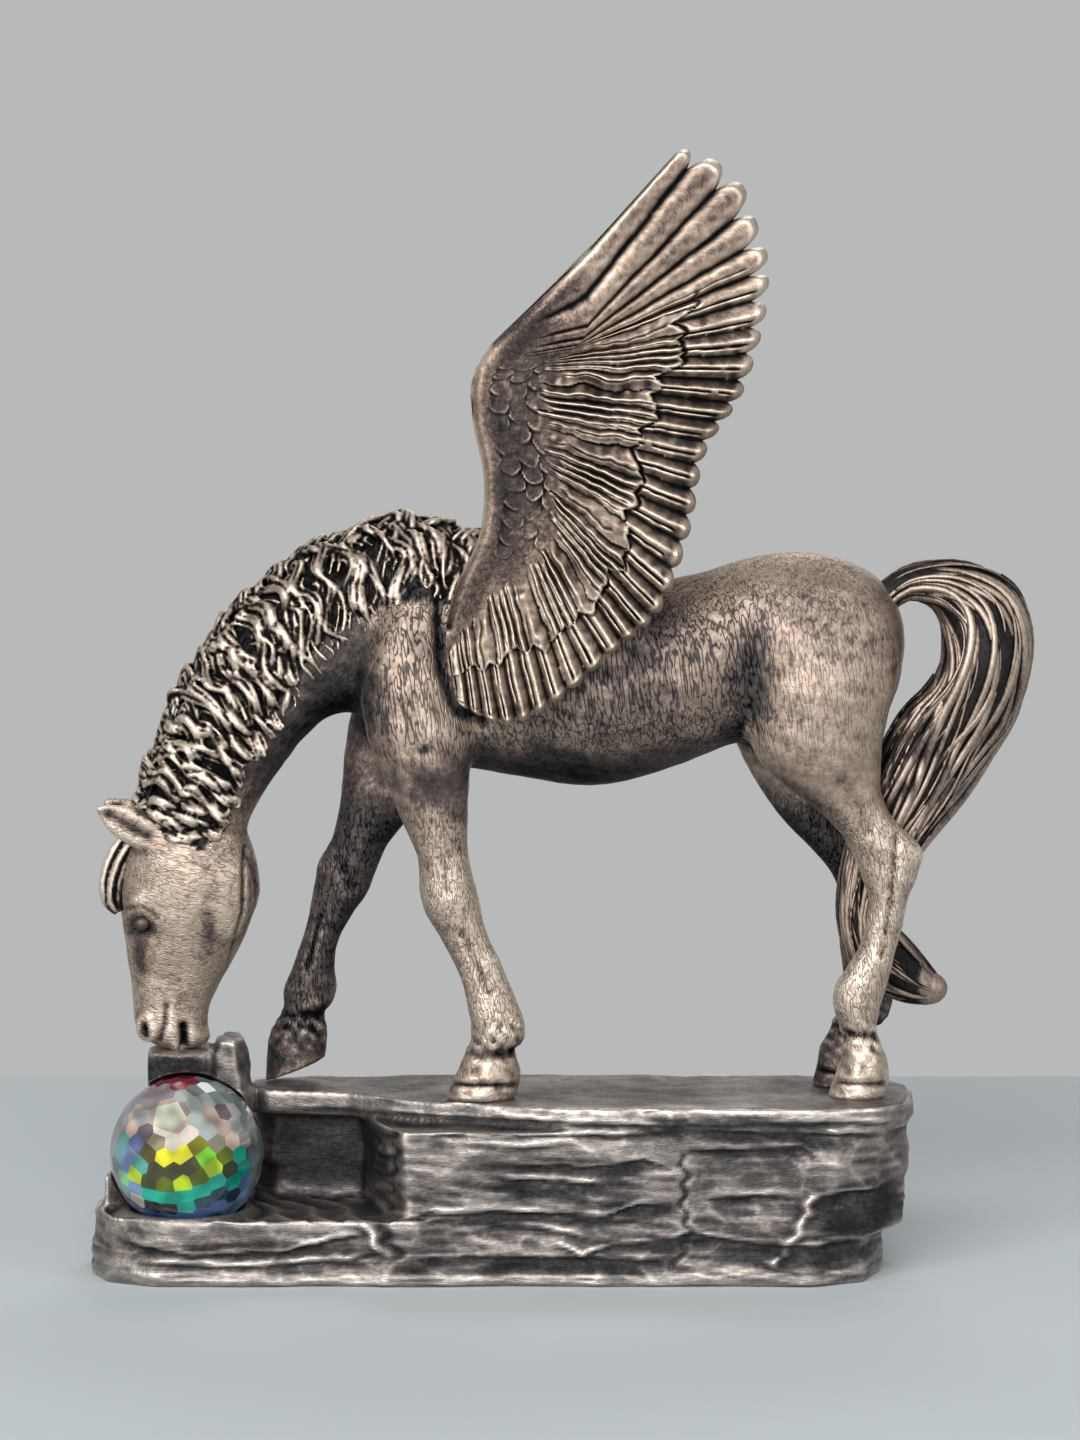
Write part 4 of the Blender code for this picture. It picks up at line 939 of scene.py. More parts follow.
def skin_point(rows, width, place, angle, lift, side):
    """A point on a lofted form: angle 0 is its front or upper outline, 90 degrees the middle of one side."""
    row = blend(rows, place)
    crest, throat = at(*row[0:2]), at(*row[2:4])
    centre = (crest + throat) / 2
    if len(row) > 5:
        centre.y = row[5] * MM
    reach = (crest - throat) / 2
    upward = reach + reach.normalized() * lift
    outward = ACROSS * side * (row[4] * width / 2 + lift)
    return centre + upward * math.cos(angle) + outward * math.sin(angle)


def hair(name, strands, voxel=None, keep=None):
    """Strands of wax hair: a closed round tube through each list of (point, radius), as one mesh."""
    curve = bpy.data.curves.new(name, "CURVE")
    curve.dimensions = "3D"
    curve.bevel_depth = 1.0
    curve.bevel_resolution = 1
    curve.use_fill_caps = True
    for path in strands:
        spline = curve.splines.new("POLY")
        spline.points.add(len(path) - 1)
        for spot, (point, radius) in zip(spline.points, path):
            spot.co = (*point, 1)
            spot.radius = radius
    guide = bpy.data.objects.new(name + "_guide", curve)
    bpy.context.scene.collection.objects.link(guide)
    bpy.context.view_layer.update()
    drawn = bpy.data.meshes.new_from_object(guide.evaluated_get(bpy.context.evaluated_depsgraph_get()))
    bm = bmesh.new()
    bm.from_mesh(drawn)
    bmesh.ops.remove_doubles(bm, verts=bm.verts, dist=0.001 * MM)
    piece = cast(name, bm, voxel, 1, keep)
    bpy.data.objects.remove(guide)
    smooth_shaded(piece)
    return piece


def note_strand_depth(piece, rows, width, full_lift, crease=None):
    """Notes strands as bright where they face away from the form that they lie on and where they stand off it, and
    dark down their sides and close to it: painted highlight and painted shade, with the oxide of the gaps between
    them; with a crease, also darker in the creases.
    """
    points, facing = skin(piece)
    best = np.full(len(points), 1e9)
    outward = np.zeros((len(points), 3))
    over = np.zeros(len(points))
    for place in np.linspace(0, len(rows) - 1, 90):
        row = blend(rows, place)
        crest, throat = np.array(at(*row[0:2])) / MM, np.array(at(*row[2:4])) / MM
        middle = (crest + throat) / 2
        middle[1] = row[5] if len(row) > 5 else 0.0
        reach = (crest - throat) / 2
        half, side = np.linalg.norm(reach), row[4] * width / 2 / MM
        reach /= half
        offset = points - middle
        slide = offset - (offset @ reach)[:, None] * reach
        gap = np.abs(slide[:, 0]) + np.abs(slide[:, 2])
        closer = gap < best
        flat, across = offset @ reach / half, offset[:, 1] / side
        away = reach * (flat / half)[:, None] + np.array((0.0, 1.0, 0.0)) * (across / side)[:, None]
        away /= np.maximum(np.linalg.norm(away, axis=1), 1e-6)[:, None]
        outward[closer] = away[closer]
        over[closer] = (np.hypot(flat, across) - 1)[closer] * side
        best = np.minimum(best, gap)
    turned = (facing * outward).sum(1)
    lift = np.clip(over / full_lift, -0.5, 1)
    hollow = 1.02 - 0.62 * turned - 0.26 * lift
    if crease:
        sunk = ((relaxed(piece, points, 3) - points) * facing).sum(1)
        hollow = 1.02 - 0.34 * turned - 0.30 * lift + 0.48 * np.tanh(sunk / crease)
    note(piece, "hollow", np.clip(hollow, 0, 1.15))


def mane_locks():
    """Every strand of the mane and the forelock, in bundles that wave together and part at their tips."""
    draw = random.Random(21)
    strands = []
    first, last = 0.9, 9.3
    for side, tiers in ((-1, 3), (1, 2)):
        for tier in range(tiers):
            for number in range(LOCKS):
                place = first + (last - first) * (number + 0.5 * (tier % 2) + draw.uniform(-0.35, 0.35)) / LOCKS
                reach = mane_reach(place) * (1 if side < 0 else 0.8)
                start = -0.35 + (reach + 0.1) * tier / tiers * 0.86 + draw.uniform(-0.12, 0.12)
                stop = start + (reach + 0.35) * (0.60 if tiers == 3 else 0.75) * draw.uniform(0.75, 1.15)
                stop = min(stop, reach + 0.10)
                lean = -0.22 - 0.32 * float(np.interp(place, (2.0, 5.0, 8.0), (1.0, 0.4, 0.3)))
                wave, turn = draw.uniform(0.06, 0.14), draw.uniform(0, 6.28)
                loops = draw.uniform(7.0, 11.0) * (stop - start) / 1.3
                bulge = draw.uniform(0.5, 1.25) * (1.1 - 0.2 * tier)
                count = draw.choice((3, 3, 4, 4))
                for member in range(count):
                    spread = (member - (count - 1) / 2) * draw.uniform(0.085, 0.11)
                    phase = turn + 0.35 * member + draw.uniform(-0.3, 0.3)
                    size = STRAND_THICKNESS / 2 * draw.uniform(0.6, 1.3)
                    stem = draw.uniform(-0.05, 0.08)
                    path = []
                    for step in range(17):
                        share = step / 16
                        angle = start + stem + (stop - start) * share + 0.05 * math.sin(2.3 * phase + 11 * share)
                        sway = wave * math.sin(phase + loops * share)
                        open_up = 1 - 0.55 * math.sin(math.pi * share) ** 2 + 0.5 * max(0.0, share - 0.7)
                        where = place + lean * (stop - start) * share + sway + spread * open_up
                        where = max(0.2, min(where, len(NECK) - 1.0))
                        swell = bulge * math.sin(math.pi * min(1.0, share * 1.15 + 0.08)) ** 0.8
                        ride = 0.05 + 0.80 * swell + 0.24 * math.sin(1.9 * phase + 1.6 * loops * share)
                        ride -= 0.10 * abs(member - (count - 1) / 2)
                        hang = min(angle, math.pi / 2) + 0.25 * max(0.0, angle - math.pi / 2)
                        point = skin_point(NECK, NECK_WIDTH, where, angle, max(ride, -0.15) * MM, side)
                        level = skin_point(NECK, NECK_WIDTH, where, hang, max(ride, -0.15) * MM, side)
                        point.y = level.y
                        lumpy = 1 + 0.22 * math.sin(3.1 * phase + 19 * share)
                        radius = size * lumpy * (0.42 + 0.68 * math.sin(math.pi * (0.16 + 0.72 * share)))
                        path.append((point, radius))
                    strands.append(path)
    for front, y, size in ((0.0, -0.9, 0.42), (0.42, -1.25, 0.34), (0.75, -1.1, 0.36), (1.0, -0.5, 0.42), (0.2, 0.6, 0.4)):
        path = []
        for step in range(14):
            share = step / 13
            row = blend(FORELOCK, share * (len(FORELOCK) - 1))
            swing = 0.12 * math.sin(3 * share + 4 * front)
            x = row[0] + (row[2] - row[0]) * front + swing - 0.25 * math.sin(math.pi * share)
            up = row[1] + (row[3] - row[1]) * front
            path.append((at(x, up, y * MM), size * MM * (0.5 + 0.6 * math.sin(math.pi * (0.2 + 0.72 * share)))))
        strands.append(path)
    return strands


mane = hair("mane", mane_locks(), MANE_GRAIN, 0.62)
note_strand_depth(mane, NECK, NECK_WIDTH, 1.1, 0.022)
LOCKS_METAL = pewter("mane_pewter", [((0, 60, 0), 1.0, 0.24, None, 0.10)], 0.5, 0.5, (0.68, 0.31, 0.05))
finished(mane, LOCKS_METAL, "horse")

# The tail. One heavy switch of long hair, combed into flowing ridges that turn slowly round it, arched at
# the dock, then falling between the hind legs to a curl behind the near fetlock.

TAIL_WIDTH = 5.6 * MM


def tail_strands():
    """The tail's combed strands: long thick ones, and finer ones that cross over them."""
    draw = random.Random(5)
    strands = []
    last = len(TAIL) - 1
    for number in range(100):
        fine = number >= 40
        start = 2 * math.pi * number / (60 if fine else 40) + draw.uniform(-0.10, 0.10)
        begin = draw.choice((0, 0, 0.04, 0.10)) + (draw.uniform(0, 0.6) if fine else 0)
        end = min(1.0, begin + draw.uniform(0.18, 0.5)) if fine else draw.choice((0.80, 0.9, 0.98, 1.0, 1.0))
        size = (0.18 if fine else 0.38) * MM * draw.uniform(0.7, 1.3)
        twist, sway, turn = draw.uniform(0.5, 1.4), draw.uniform(0.10, 0.30), draw.uniform(0, 6.28)
        rise = draw.uniform(-0.22, 0.14) + (0.14 if fine else 0)
        path = []
        for step in range(44):
            share = begin + (end - begin) * step / 43
            angle = start + twist * share + sway * math.sin(11 * share + turn) + 0.28 * math.sin(5 * share)
            lift = (rise + 0.14 * math.sin(23 * share + turn)) * MM - 0.3 * size
            thick = size * (0.15 + 0.95 * math.sin(math.pi * (0.06 + 0.90 * step / 43)) ** 0.7)
            narrow = 1 - 0.30 * share
            path.append((skin_point(TAIL, TAIL_WIDTH, share * last, angle, lift, 1), thick * narrow))
        strands.append(path)
    return strands


bm = bmesh.new()
profile_loft(bm, TAIL, TAIL_WIDTH * 0.97, sides=24)
swelling(bm, 33.6, 8.1, 0.0, 1.5, 0.9, 1.3)
tail_core = cast("tail_core", bm)
smooth_shaded(tail_core)
points, facing = skin(tail_core)
# The core shows only in the gaps between the strands and is set dark there, partly oxide and partly painted shade; the
# curl at the bottom stays plain.
note(tail_core, "hollow", np.where((points[:, 0] > 32.8) & (points[:, 2] < 24), 0.5, 0.84))
tail = hair("tail", tail_strands())
note_strand_depth(tail, TAIL, TAIL_WIDTH, 0.8)
SWITCH = pewter("tail_pewter", [((0, 15, 0), 2.0, 0.3, None, 0.08)], 0.5, 0.4, (0.65, 0.35, 0.07))
finished(tail_core, SWITCH, "horse")
finished(tail, SWITCH, "horse")

# The wings. Each is a flat pewter casting soldered to the shoulder: a smooth rounded leading edge, small
# dimpled scales behind it, and three overlapping rows of feathers, each with its rib and cut barbs.

WING_THICKNESS = 1.1 * MM
WING_FLARE = 0.05
TIP_FLARE = 0.02
FEATHERS = 31
SECTIONS = 15
OUTSIDE_POINTS = 134
INSIDE_POINTS = 22

# A line of the wing for each place counted in feathers: where it starts at the leading edge, where the
# feather leaves the coverts, and its own tip, in millimetres from the origin and above the hooves.
FINE_LINES = [
    (-0.5, -0.9, 58.7, 6.2, 65.5, 13.0, 73.0),
    (0.0, -1.0, 58.5, 6.3, 63.8, 13.9, 73.5),
    (1.0, -1.2, 58.2, 6.6, 61.0, 16.3, 72.6),
    (2.0, -1.4, 57.9, 6.4, 59.7, 18.4, 70.6),
    (3.0, -1.6, 57.6, 6.0, 58.9, 19.4, 67.9),
    (4.0, -1.7, 57.3, 5.5, 58.5, 20.2, 65.4),
    (6.0, -2.0, 56.9, 4.5, 57.8, 20.1, 61.1),
    (9.0, -2.4, 55.3, 2.9, 56.3, 18.4, 55.1),
    (12.0, -2.2, 52.6, 2.9, 53.0, 15.6, 50.5),
    (15.0, -1.5, 49.3, 3.5, 49.8, 14.4, 44.5),
    (18.0, -1.4, 46.9, 3.8, 46.9, 12.2, 38.5),
    (21.0, -1.7, 44.4, 3.4, 43.4, 8.7, 35.3),
    (24.0, -2.5, 42.4, 1.4, 41.3, 4.4, 31.5),
    (27.0, -3.4, 40.6, -1.3, 39.2, 0.5, 29.6),
    (30.0, -4.0, 38.7, -3.6, 36.1, -2.9, 30.9),
    (30.5, -4.3, 37.3, -4.2, 34.9, -3.6, 31.9),
]
LEADING_EDGE = [
    (-4.3, 37.3), (-4.0, 38.7), (-3.4, 40.6), (-2.5, 42.4), (-1.7, 44.4), (-1.4, 46.9), (-1.5, 49.3),
    (-2.2, 52.6), (-2.4, 55.3), (-2.0, 57.1), (-0.9, 58.7), (4.4, 63.7), (6.8, 66.1), (13.1, 73.1),
]
WING_ROOT_HEIGHT = 38.7
# Parts of the wing made darker, or brighter: middle, half sizes, and how dark.
WING_SHADES = [
    (14.5, 51.5, 5.0, 12.0, 0.12),
    (6.5, 53.0, 6.0, 8.0, 0.10),
    (0.8, 50.0, 2.2, 10.0, 0.10),
    (2.0, 36.0, 7.0, 6.0, -0.08),
    (15.0, 68.0, 6.0, 7.0, 0.05),
    (3.0, 62.0, 4.0, 6.0, 0.08),
    (17.5, 50.0, 4.5, 14.0, 0.14),
    (11.5, 38.0, 4.0, 6.0, 0.08),
]


def feather_table(places):
    """Leading edge, bend and tip for each place counted in feathers, from a smooth curve through the rows."""
    known = [row[0] for row in FINE_LINES]
    rows = [row[1:] for row in FINE_LINES]
    return np.array([blend(rows, float(np.interp(place, known, range(len(rows))))) for place in places])


def wing_relief(place, along, x, height, edge_gap):
    """How far the wing's outside stands out, as a share of its thickness."""
    t = np.clip(along - 1, 0, 1)
    flat = np.stack([x.ravel(), height.ravel(), np.zeros(x.size)], 1)
    sway = (0.18 * wavy(flat, 4.6, 31) + 0.07 * wavy(flat, 1.5, 32)).reshape(x.shape)
    worn = wavy(flat, 0.9, 33).reshape(x.shape)
    blotch = wavy(flat, 2.4, 34).reshape(x.shape)
    broad = 1 - ease(3.0, 6.5, place)
    phase = place - np.round(place)
    calm = ease(0.70, 0.95, t)
    # The feathers: fine ridges that end on a wandering line, and the quills that come out from under them.
    line = 0.61 + 0.03 * np.sin(place * 1.9) + 0.02 * np.sin(place * 4.3) - 0.12 * ease(22, 27, place)
    inner = (t < line) & (broad < 0.5)
    row = np.where(inner, place * 1.45 + 0.5 * np.sin(place * 1.7) + 1.6 * sway, place + 0.45 * sway * (1 - calm))
    ripple = row - np.round(row)
    number = np.round(row)
    pointed = np.where(inner, 1.2, 1.25) * (1 - broad) + 4.0 * broad
    crest = 1 - np.abs(2 * ripple) ** pointed
    deep = np.where(inner, 0.40, 0.56) + 0.12 * np.sin(number * 5.1) + 0.14 * blotch * (1 - broad)
    deep = deep * (1 - 0.25 * broad) * np.where(inner, 0.8 + 0.4 * np.sin(number * 7.1 + 9 * t), 1)
    step = 0.98 - 0.12 * t - (1 - broad) * 0.13 * ease(-0.01, 0.02, t - line)
    feathers = step + deep * (crest - 1) + 0.14 * ripple * (1 - broad) + (0.035 - 0.02 * broad) * worn
    second = ripple - 0.16 - 0.08 * np.sin(number * 1.3)
    split = np.exp(-((second / 0.05) ** 2)) * np.where(inner, 0.10, 0.32) * (1 - broad)
    feathers -= split * ease(0.0, 0.3, blotch + 0.6) * (1 - ease(0.90, 0.96, t))
    notch = np.exp(-(((t - line - 0.012) / 0.014) ** 2)) * (1 - broad) * (1 - ease(20, 25, place))
    feathers -= 0.30 * notch * ease(0.05, 0.40, blotch + 0.25)
    start = ease(0.0, 0.12, along - 1 + 0.05 * np.sin(number * 2.3) + 0.04 * worn) * (1 - broad)
    start += broad * ease(-0.55, -0.15, along - 1)
    # The coverts: a rounded bar along the leading edge, then low uneven scales like tiles.
    bar = np.sqrt(np.clip(1 - (1 - np.clip(edge_gap / 0.75, 0, 1)) ** 2, 0, 1))
    level = np.where(edge_gap < 0.75, 0.05 + 1.0 * bar, 1.05 - 0.30 * ease(0.75, 2.2, edge_gap))
    scales = ease(5, 8, place) * (1 - ease(21, 24, place)) * ease(1.2, 1.8, edge_gap) * (1 - ease(0.94, 1.02, along))
    column = (along - 0.30) / 0.27 + 1.7 * sway
    across = column - np.floor(column) - 0.5
    tile = place / 1.45 + 0.5 * (np.floor(column) % 2) + 1.3 * across ** 2 + 1.4 * sway
    tile -= np.floor(tile)
    lip = 0.22 * tile ** 2 * (1 - ease(0.80, 1.0, tile)) - 0.06 - 0.06 * (2 * across) ** 2
    level = level + scales * np.clip(0.5 + 1.6 * blotch, 0, 1.2) * lip + 0.03 * scales * worn
    level = level * (1 - start) + np.minimum(feathers, 1.06) * start
    bead = np.exp(-(((t - 0.955) / 0.035) ** 2)) * np.clip(1 - (2.3 * phase) ** 2, 0, 1) * ease(8, 14, place)
    level += 0.24 * bead
    level = np.minimum(level, 0.05 + 1.1 * np.sqrt(np.clip(1 - (1 - np.clip(edge_gap / 0.6, 0, 1)) ** 2, 0, 1)))
    level = level * (1 - 0.85 * ease(0.965, 1.0, t))
    return np.clip(level, -0.1, 1.15)


def make_wing(name, side):
    """A closed wing: closed sections round it, set side by side along the whole fan of feathers."""
    places = np.linspace(-0.5, FEATHERS - 0.5, FEATHERS * SECTIONS + 1)
    ring = OUTSIDE_POINTS + INSIDE_POINTS
    shares = np.concatenate([
        np.linspace(0.0, 0.3, 16, endpoint=False),
        np.linspace(0.3, 1.0, 36, endpoint=False),
        np.linspace(1.0, 2.0, OUTSIDE_POINTS - 52),
        2.0 * (1 - (np.arange(INSIDE_POINTS) + 0.5) / INSIDE_POINTS),
    ])
    lines = feather_table(places)
    place, along = np.meshgrid(places, shares, indexing="ij")
    phase = np.abs(place - np.round(place))
    broad = 1 - ease(3, 8, place)
    fall = (0.05 + 0.06 * broad) * (2 * phase) ** (2.4 + 0.6 * broad)
    fall = np.where((place < -0.2) | (place > FEATHERS - 0.8), 0.35 * fall, fall)
    reach = np.clip(along, 0, 1)
    beyond = np.clip(along - 1, 0, 1) * (1 - fall)
    edge, bend, tip = lines[:, None, 0:2], lines[:, None, 2:4], lines[:, None, 4:6]
    spot = edge + (bend - edge) * reach[..., None] + (tip - bend) * beyond[..., None]
    x, height = spot[..., 0], spot[..., 1]
    flat = np.stack([x.ravel(), height.ravel()], 1)
    edge_gap = from_line(flat, LEADING_EDGE).reshape(x.shape)
    out = wing_relief(place, along, x, height, edge_gap)
    inside = np.interp(along, (0.0, 0.06, 0.2, 1.0, 1.8, 2.0), (-0.1, -0.4, -0.6, -0.6, -0.4, -0.05))
    inside += 0.2 * (2 * phase) ** 3 * ease(1.0, 1.2, along) * (1 - ease(1.9, 2.0, along))
    rear = np.arange(ring)[None, :] >= OUTSIDE_POINTS
    thick = np.where(rear, inside, out)
    inner = BODY_WIDTH / 2 / MM + SOLDER_GAP / MM + 0.6 * WING_THICKNESS / MM
    lean = WING_FLARE * np.clip(x, 0, None) + TIP_FLARE * np.clip(height - WING_ROOT_HEIGHT, 0, None)
    y = side * (inner + lean + thick * WING_THICKNESS / MM)
    target = np.stack([x, y, height + GROUND / MM], -1)

    bm = bmesh.new()
    bmesh.ops.create_grid(bm, x_segments=len(places) - 1, y_segments=ring, size=1.0)
    sheet = bpy.data.meshes.new(name)
    bm.to_mesh(sheet)
    flat_grid = np.empty(len(sheet.vertices) * 3, np.float32)
    sheet.vertices.foreach_get("co", flat_grid)
    flat_grid = flat_grid.reshape(-1, 3)
    i = np.rint((flat_grid[:, 0] + 1) / 2 * (len(places) - 1)).astype(int)
    j = np.rint((flat_grid[:, 1] + 1) / 2 * ring).astype(int) % ring
    sheet.vertices.foreach_set("co", (target[i, j] * MM).astype(np.float32).ravel())
    length = np.linalg.norm(tip - bend, axis=-1) * np.clip(along - 1, 0, 1)
    width = (place - np.round(place)) * 1.3
    barbs = np.stack([width, np.zeros_like(width), length + 1.1 * np.abs(width)], -1)[i, j] * MM
    layer = sheet.attributes.new("barbs", "FLOAT_VECTOR", "POINT")
    layer.data.foreach_set("vector", barbs.astype(np.float32).ravel())
    plain = (1 - ease(0.9, 1.1, along) * (1 - ease(1.9, 2.0, along)))[i, j]
    for label, amount in (("coverts", plain), ("feathers", 1 - plain)):
        layer = sheet.attributes.new(label, "FLOAT", "POINT")
        layer.data.foreach_set("value", amount.astype(np.float32))
    bm.clear()
    bm.from_mesh(sheet)
    bmesh.ops.remove_doubles(bm, verts=bm.verts, dist=0.00002 * MM)
    bmesh.ops.holes_fill(bm, edges=[edge for edge in bm.edges if edge.is_boundary], sides=0)
    wing = cast(name, bm)
    smooth_shaded(wing)
    note_hollows(wing, 3, 14, 0.05, 0.22)
    shade = np.empty(len(wing.data.vertices), np.float32)
    wing.data.attributes["coverts"].data.foreach_get("value", shade)
    hollow = np.empty(len(wing.data.vertices), np.float32)
    wing.data.attributes["hollow"].data.foreach_get("value", hollow)
    spots, facing = skin(wing)
    hollow += 0.05 + 0.09 * shade
    for x0, z0, wide, tall, amount in WING_SHADES:
        gap = np.hypot((spots[:, 0] - x0) / wide, (spots[:, 2] - GROUND / MM - z0) / tall)
        hollow += amount * np.clip(1.5 - 1.5 * gap, 0, 1)
    wing.data.attributes["hollow"].data.foreach_set("value", hollow)
    return wing


PLUME = pewter(
    "feather_pewter",
    [((0, 90, 0), 1.0, 0.26, "feathers", 0.07, "barbs"), ((0, -30, 0), 0.6, 0.4, "coverts", 0.10)],
    0.5,
    0.55,
    (0.68, 0.30, 0.08),
    1.1,
)
for name, side in (("near_wing", -1), ("far_wing", 1)):
    finished(make_wing(name + "_feathers", side), PLUME, name)

# The ball. Machine-cut lead crystal with a vapour-deposited rainbow film on its rear half, which shows
# green and yellow in the middle, teal and blue below, and pink at the top, broken up by its facets.

FACET_ROWS = 17
TABLE_AXIS = Vector((-0.17, -0.77, 0.61)).normalized()
TABLE_RADIUS = 1.0 * MM
# The film's colours in rings round the table: degrees from its middle, colour.
FILM = [
    (10, (0.30, 0.24, 0.19)),
    (21, (0.26, 0.23, 0.14)),
    (30, (0.70, 0.66, 0.02)),
    (38, (0.09, 0.075, 0.02)),
    (42, (0.06, 0.06, 0.02)),
    (46, (0.14, 0.46, 0.02)),
    (53, (0.38, 0.54, 0.01)),
    (58, (0.05, 0.07, 0.01)),
    (64, (0.00, 0.38, 0.26)),
    (72, (0.00, 0.28, 0.22)),
    (78, (0.02, 0.05, 0.07)),
    (86, (0.06, 0.11, 0.26)),
    (96, (0.05, 0.08, 0.12)),
    (110, (0.16, 0.20, 0.24)),
    (180, (0.20, 0.25, 0.28)),
]
PINKS = [(0.50, 0.36, 0.30), (0.36, 0.27, 0.22), (0.12, 0.10, 0.11), (0.30, 0.34, 0.32), (0.22, 0.18, 0.17)]
BLUES = [(0.16, 0.24, 0.42), (0.10, 0.12, 0.26), (0.60, 0.56, 0.44), (0.18, 0.50, 0.22), (0.08, 0.30, 0.26)]


def cut_ball():
    """The ball, cut all over with small flat facets in staggered rows round its table."""
    bm = bmesh.new()
    bmesh.ops.create_uvsphere(bm, u_segments=24, v_segments=14, radius=BALL_DIAMETER * 0.53)
    turn = TABLE_AXIS.to_track_quat("Z", "Y")
    radius = BALL_DIAMETER / 2
    cuts = []
    for row in range(1, FACET_ROWS + 1):
        polar = math.pi * row / FACET_ROWS
        count = max(1, round(1.6 * FACET_ROWS * math.sin(polar)))
        for number in range(count):
            spin = 2 * math.pi * (number + 0.5 * (row % 2)) / count
            level = (math.sin(polar) * math.cos(spin), math.sin(polar) * math.sin(spin), math.cos(polar))
            cuts.append((turn @ Vector(level), radius * math.cos(math.pi / 2.2 / FACET_ROWS)))
    cuts.append((TABLE_AXIS, math.sqrt(radius ** 2 - TABLE_RADIUS ** 2) - 0.05 * MM))
    for facing, reach in cuts:
        cut = bmesh.ops.bisect_plane(
            bm,
            geom=bm.verts[:] + bm.edges[:] + bm.faces[:],
            plane_co=facing * reach,
            plane_no=facing,
            clear_outer=True,
        )
        rim = [g for g in cut["geom_cut"] if isinstance(g, bmesh.types.BMEdge)]
        bmesh.ops.edgeloop_fill(bm, edges=rim)
    bmesh.ops.translate(bm, vec=BALL_CENTRE, verts=bm.verts)
    return bm


def film_colour(away, draw):
    """The colour seen through one facet, from its place round the ball's middle in radii, with painted reflection near
    the rim.
    """
    across, up = away.x, away.z
    ring = math.degrees(away.angle(TABLE_AXIS)) + draw.uniform(-3.5, 3.5)
    colour = min(FILM, key=lambda stop: abs(stop[0] - ring))[1]
    if up > 0.32 - 0.1 * across:
        colour = draw.choice(PINKS)
    elif across < -0.5 and draw.random() < 0.8:
        colour = draw.choice(BLUES)
    elif draw.random() < 0.15:
        colour = [0.25 * part for part in colour]
    # Painted reflection: near the rim as seen from the front, each facet fades to grey, or to blue at the lower right,
    # for the surroundings that the glass reflects there; the crimson at the top is the film's colour.
    grey = (0.16, 0.20, 0.20) if across > 0 else (0.20, 0.19, 0.22)
    if up < -0.45 and across > 0.3:
        grey = (0.20, 0.34, 0.60)
    if up > 0.90 and -0.45 < across < 0.10:
        grey = (0.24, 0.02, 0.05)
    rim = max(0.0, min(1.0, (math.hypot(across, up) - 0.82) / 0.12))
    return [c * (1 - rim) + g * rim for c, g in zip(colour, grey)]


CRYSTAL = bpy.data.materials.new("coated_crystal")
CRYSTAL.use_nodes = True
nodes, links = CRYSTAL.node_tree.nodes, CRYSTAL.node_tree.links
shader = nodes["Principled BSDF"]
shader.inputs["Roughness"].default_value = 0.05
shader.inputs["IOR"].default_value = 1.56
shader.inputs["Coat Weight"].default_value = 0.25
shader.inputs["Coat Roughness"].default_value = 0.02
film = nodes.new("ShaderNodeAttribute")
film.attribute_name = "film"
place = nodes.new("ShaderNodeTexCoord")
inner = nodes.new("ShaderNodeTexNoise")
inner.inputs["Scale"].default_value = 1 / (1.4 * MM)
inner.inputs["Detail"].default_value = 0.0
links.new(place.outputs["Object"], inner.inputs["Vector"])
spark = nodes.new("ShaderNodeMapRange")
spark.inputs["From Min"].default_value = 0.34
spark.inputs["From Max"].default_value = 0.66
spark.inputs["To Min"].default_value = 0.55
spark.inputs["To Max"].default_value = 1.1
links.new(inner.outputs[0], spark.inputs["Value"])
mix = nodes.new("ShaderNodeVectorMath")
mix.operation = "SCALE"
links.new(film.outputs["Color"], mix.inputs[0])
links.new(spark.outputs["Result"], mix.inputs["Scale"])
links.new(mix.outputs["Vector"], shader.inputs["Base Color"])
ball = cast("cut_ball", cut_ball())
draw = random.Random(8)
tints = ball.data.attributes.new("film", "FLOAT_COLOR", "FACE")
for facet in sorted(ball.data.polygons, key=lambda facet: [round(part / MM, 2) for part in facet.center]):
    away = (facet.center - BALL_CENTRE) / (BALL_DIAMETER / 2)
    if facet.normal.dot(TABLE_AXIS) > 0.9999:
        tints.data[facet.index].color = (0.50, 0.52, 0.40, 1)
    else:
        tints.data[facet.index].color = (*film_colour(away, draw), 1)
ball.data.materials.append(CRYSTAL)
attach(ball, "root")
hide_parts("crystal_ball")

# The studio. A pale table and wall, one broad soft lamp above to the left, a weaker one from the
# right, and the camera at the photograph's place.


def plain(name, colour, roughness):
    """A plain matt surface with a faint cloudiness."""
    material = bpy.data.materials.new(name)
    material.use_nodes = True
    nodes, links = material.node_tree.nodes, material.node_tree.links
    shader = nodes["Principled BSDF"]
    shader.inputs["Roughness"].default_value = roughness
    shader.inputs["Specular IOR Level"].default_value = 0.1
    texture = nodes.new("ShaderNodeTexNoise")
    texture.inputs["Scale"].default_value = 6.0
    tint = nodes.new("ShaderNodeValToRGB")
    tint.color_ramp.elements[0].color = (*[c * 0.98 for c in colour], 1)
    tint.color_ramp.elements[1].color = (*colour, 1)
    links.new(texture.outputs[0], tint.inputs["Fac"])
    links.new(tint.outputs["Color"], shader.inputs["Base Color"])
    return material


TABLE_DEPTH = 2000 * MM
TABLE_END = 95 * MM
top = bmesh.new()
bmesh.ops.create_grid(top, x_segments=1, y_segments=1, size=TABLE_DEPTH / 2)
bmesh.ops.translate(top, vec=(0, TABLE_END - TABLE_DEPTH / 2, 0), verts=top.verts)
table = cast("table", top)
table.data.materials.append(plain("pale_table", (0.56, 0.60, 0.61), 1.0))

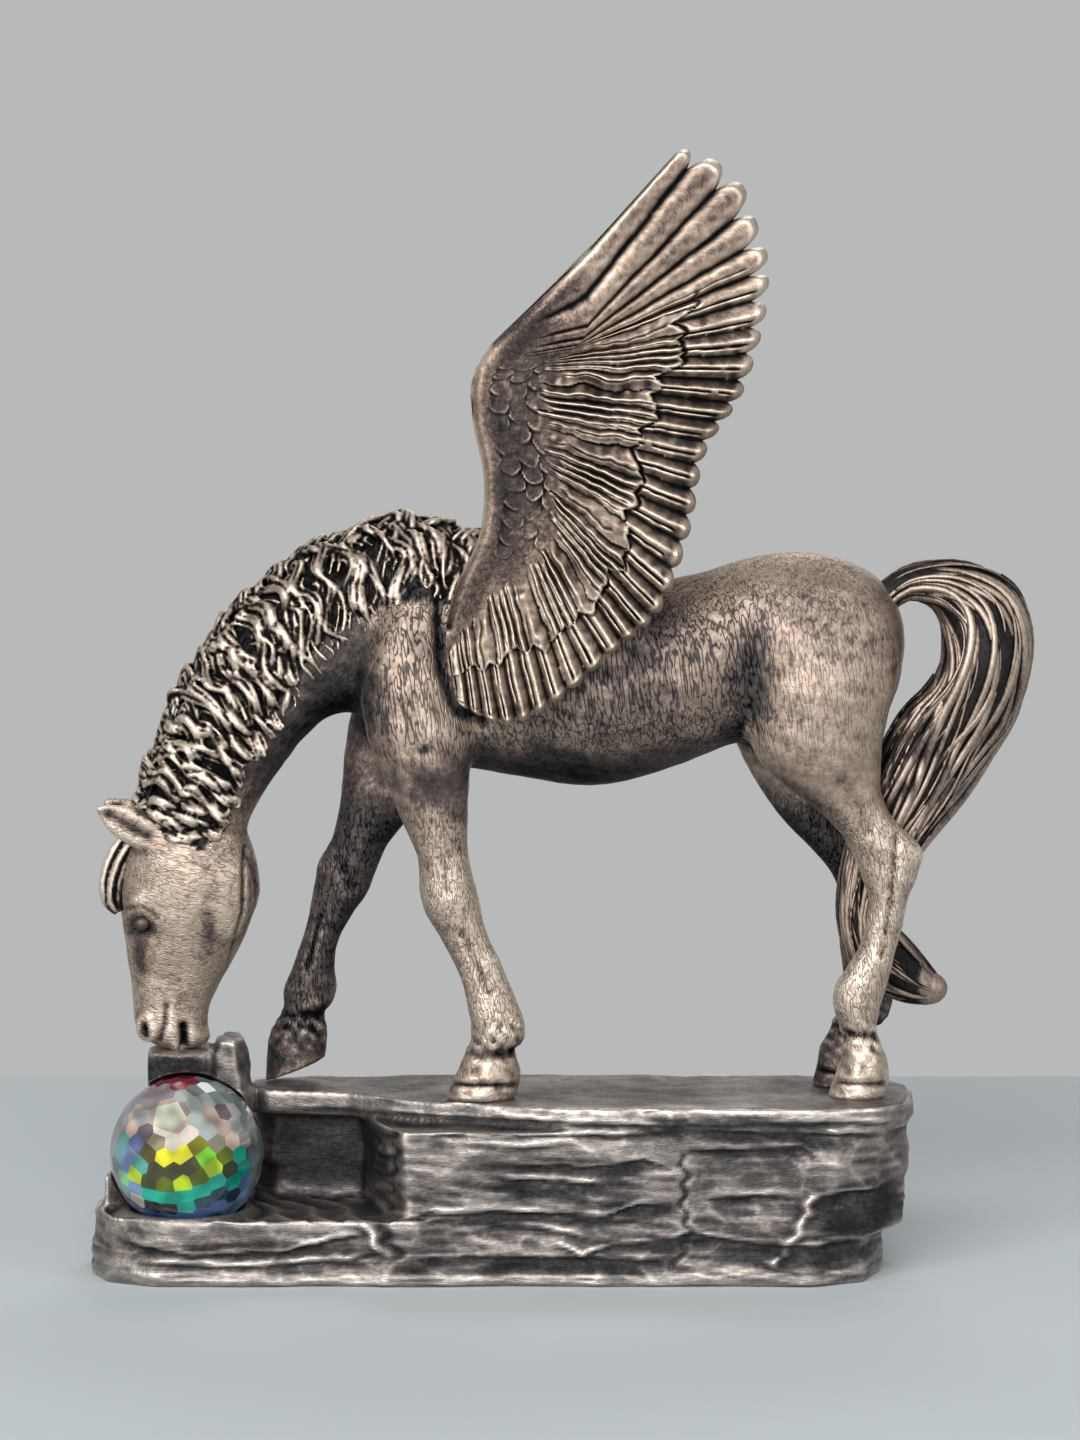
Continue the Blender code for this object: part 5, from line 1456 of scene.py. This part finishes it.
world = bpy.data.worlds.new("studio_air")
bpy.context.scene.world = world
world.use_nodes = True
nodes, links = world.node_tree.nodes, world.node_tree.links
air = nodes["Background"]
air.inputs["Color"].default_value = (0.60, 0.62, 0.64, 1)
air.inputs["Strength"].default_value = 0.45
wall = nodes.new("ShaderNodeBackground")
wall.inputs["Color"].default_value = (0.48, 0.49, 0.49, 1)
sight = nodes.new("ShaderNodeLightPath")
seen = sight.outputs["Is Camera Ray"]
for ray in ("Is Glossy Ray", "Is Transmission Ray"):
    both = nodes.new("ShaderNodeMath")
    both.operation = "MAXIMUM"
    links.new(seen, both.inputs[0])
    links.new(sight.outputs[ray], both.inputs[1])
    seen = both.outputs[0]
either = nodes.new("ShaderNodeMixShader")
links.new(seen, either.inputs[0])
links.new(air.outputs[0], either.inputs[1])
links.new(wall.outputs[0], either.inputs[2])
links.new(either.outputs[0], nodes["World Output"].inputs["Surface"])


def lamp(name, place, aim, size, power):
    """A broad soft lamp at a place, turned to its aim."""
    data = bpy.data.lights.new(name, "AREA")
    data.shape = "RECTANGLE"
    data.size, data.size_y = size
    data.energy = power
    light = bpy.data.objects.new(name, data)
    light.location = place
    light.rotation_mode = "QUATERNION"
    light.rotation_quaternion = (Vector(aim) - Vector(place)).to_track_quat("-Z", "Y")
    bpy.context.scene.collection.objects.link(light)


lamp("key", (-0.16, -0.58, 0.32), (0, 0, 0.04), (0.66, 0.46), 5.6)
lamp("fill", (0.42, -0.40, 0.22), (0, 0, 0.04), (0.30, 0.30), 0.6)
lamp("rim", (0.10, 0.40, 0.50), (0, 0, 0.05), (0.30, 0.20), 0.7)

lens = bpy.data.cameras.new("camera")
lens.sensor_width = 36
lens.lens = 111.6
lens.clip_start = 0.01
camera = bpy.data.objects.new("camera", lens)
camera.location = (2.9 * MM, -350 * MM, 71 * MM)
camera.rotation_euler = (math.radians(90 - 4.5), 0, 0)
bpy.context.scene.collection.objects.link(camera)
bpy.context.scene.camera = camera
bpy.context.scene.view_settings.view_transform = "Standard"

bpy.context.view_layer.update()
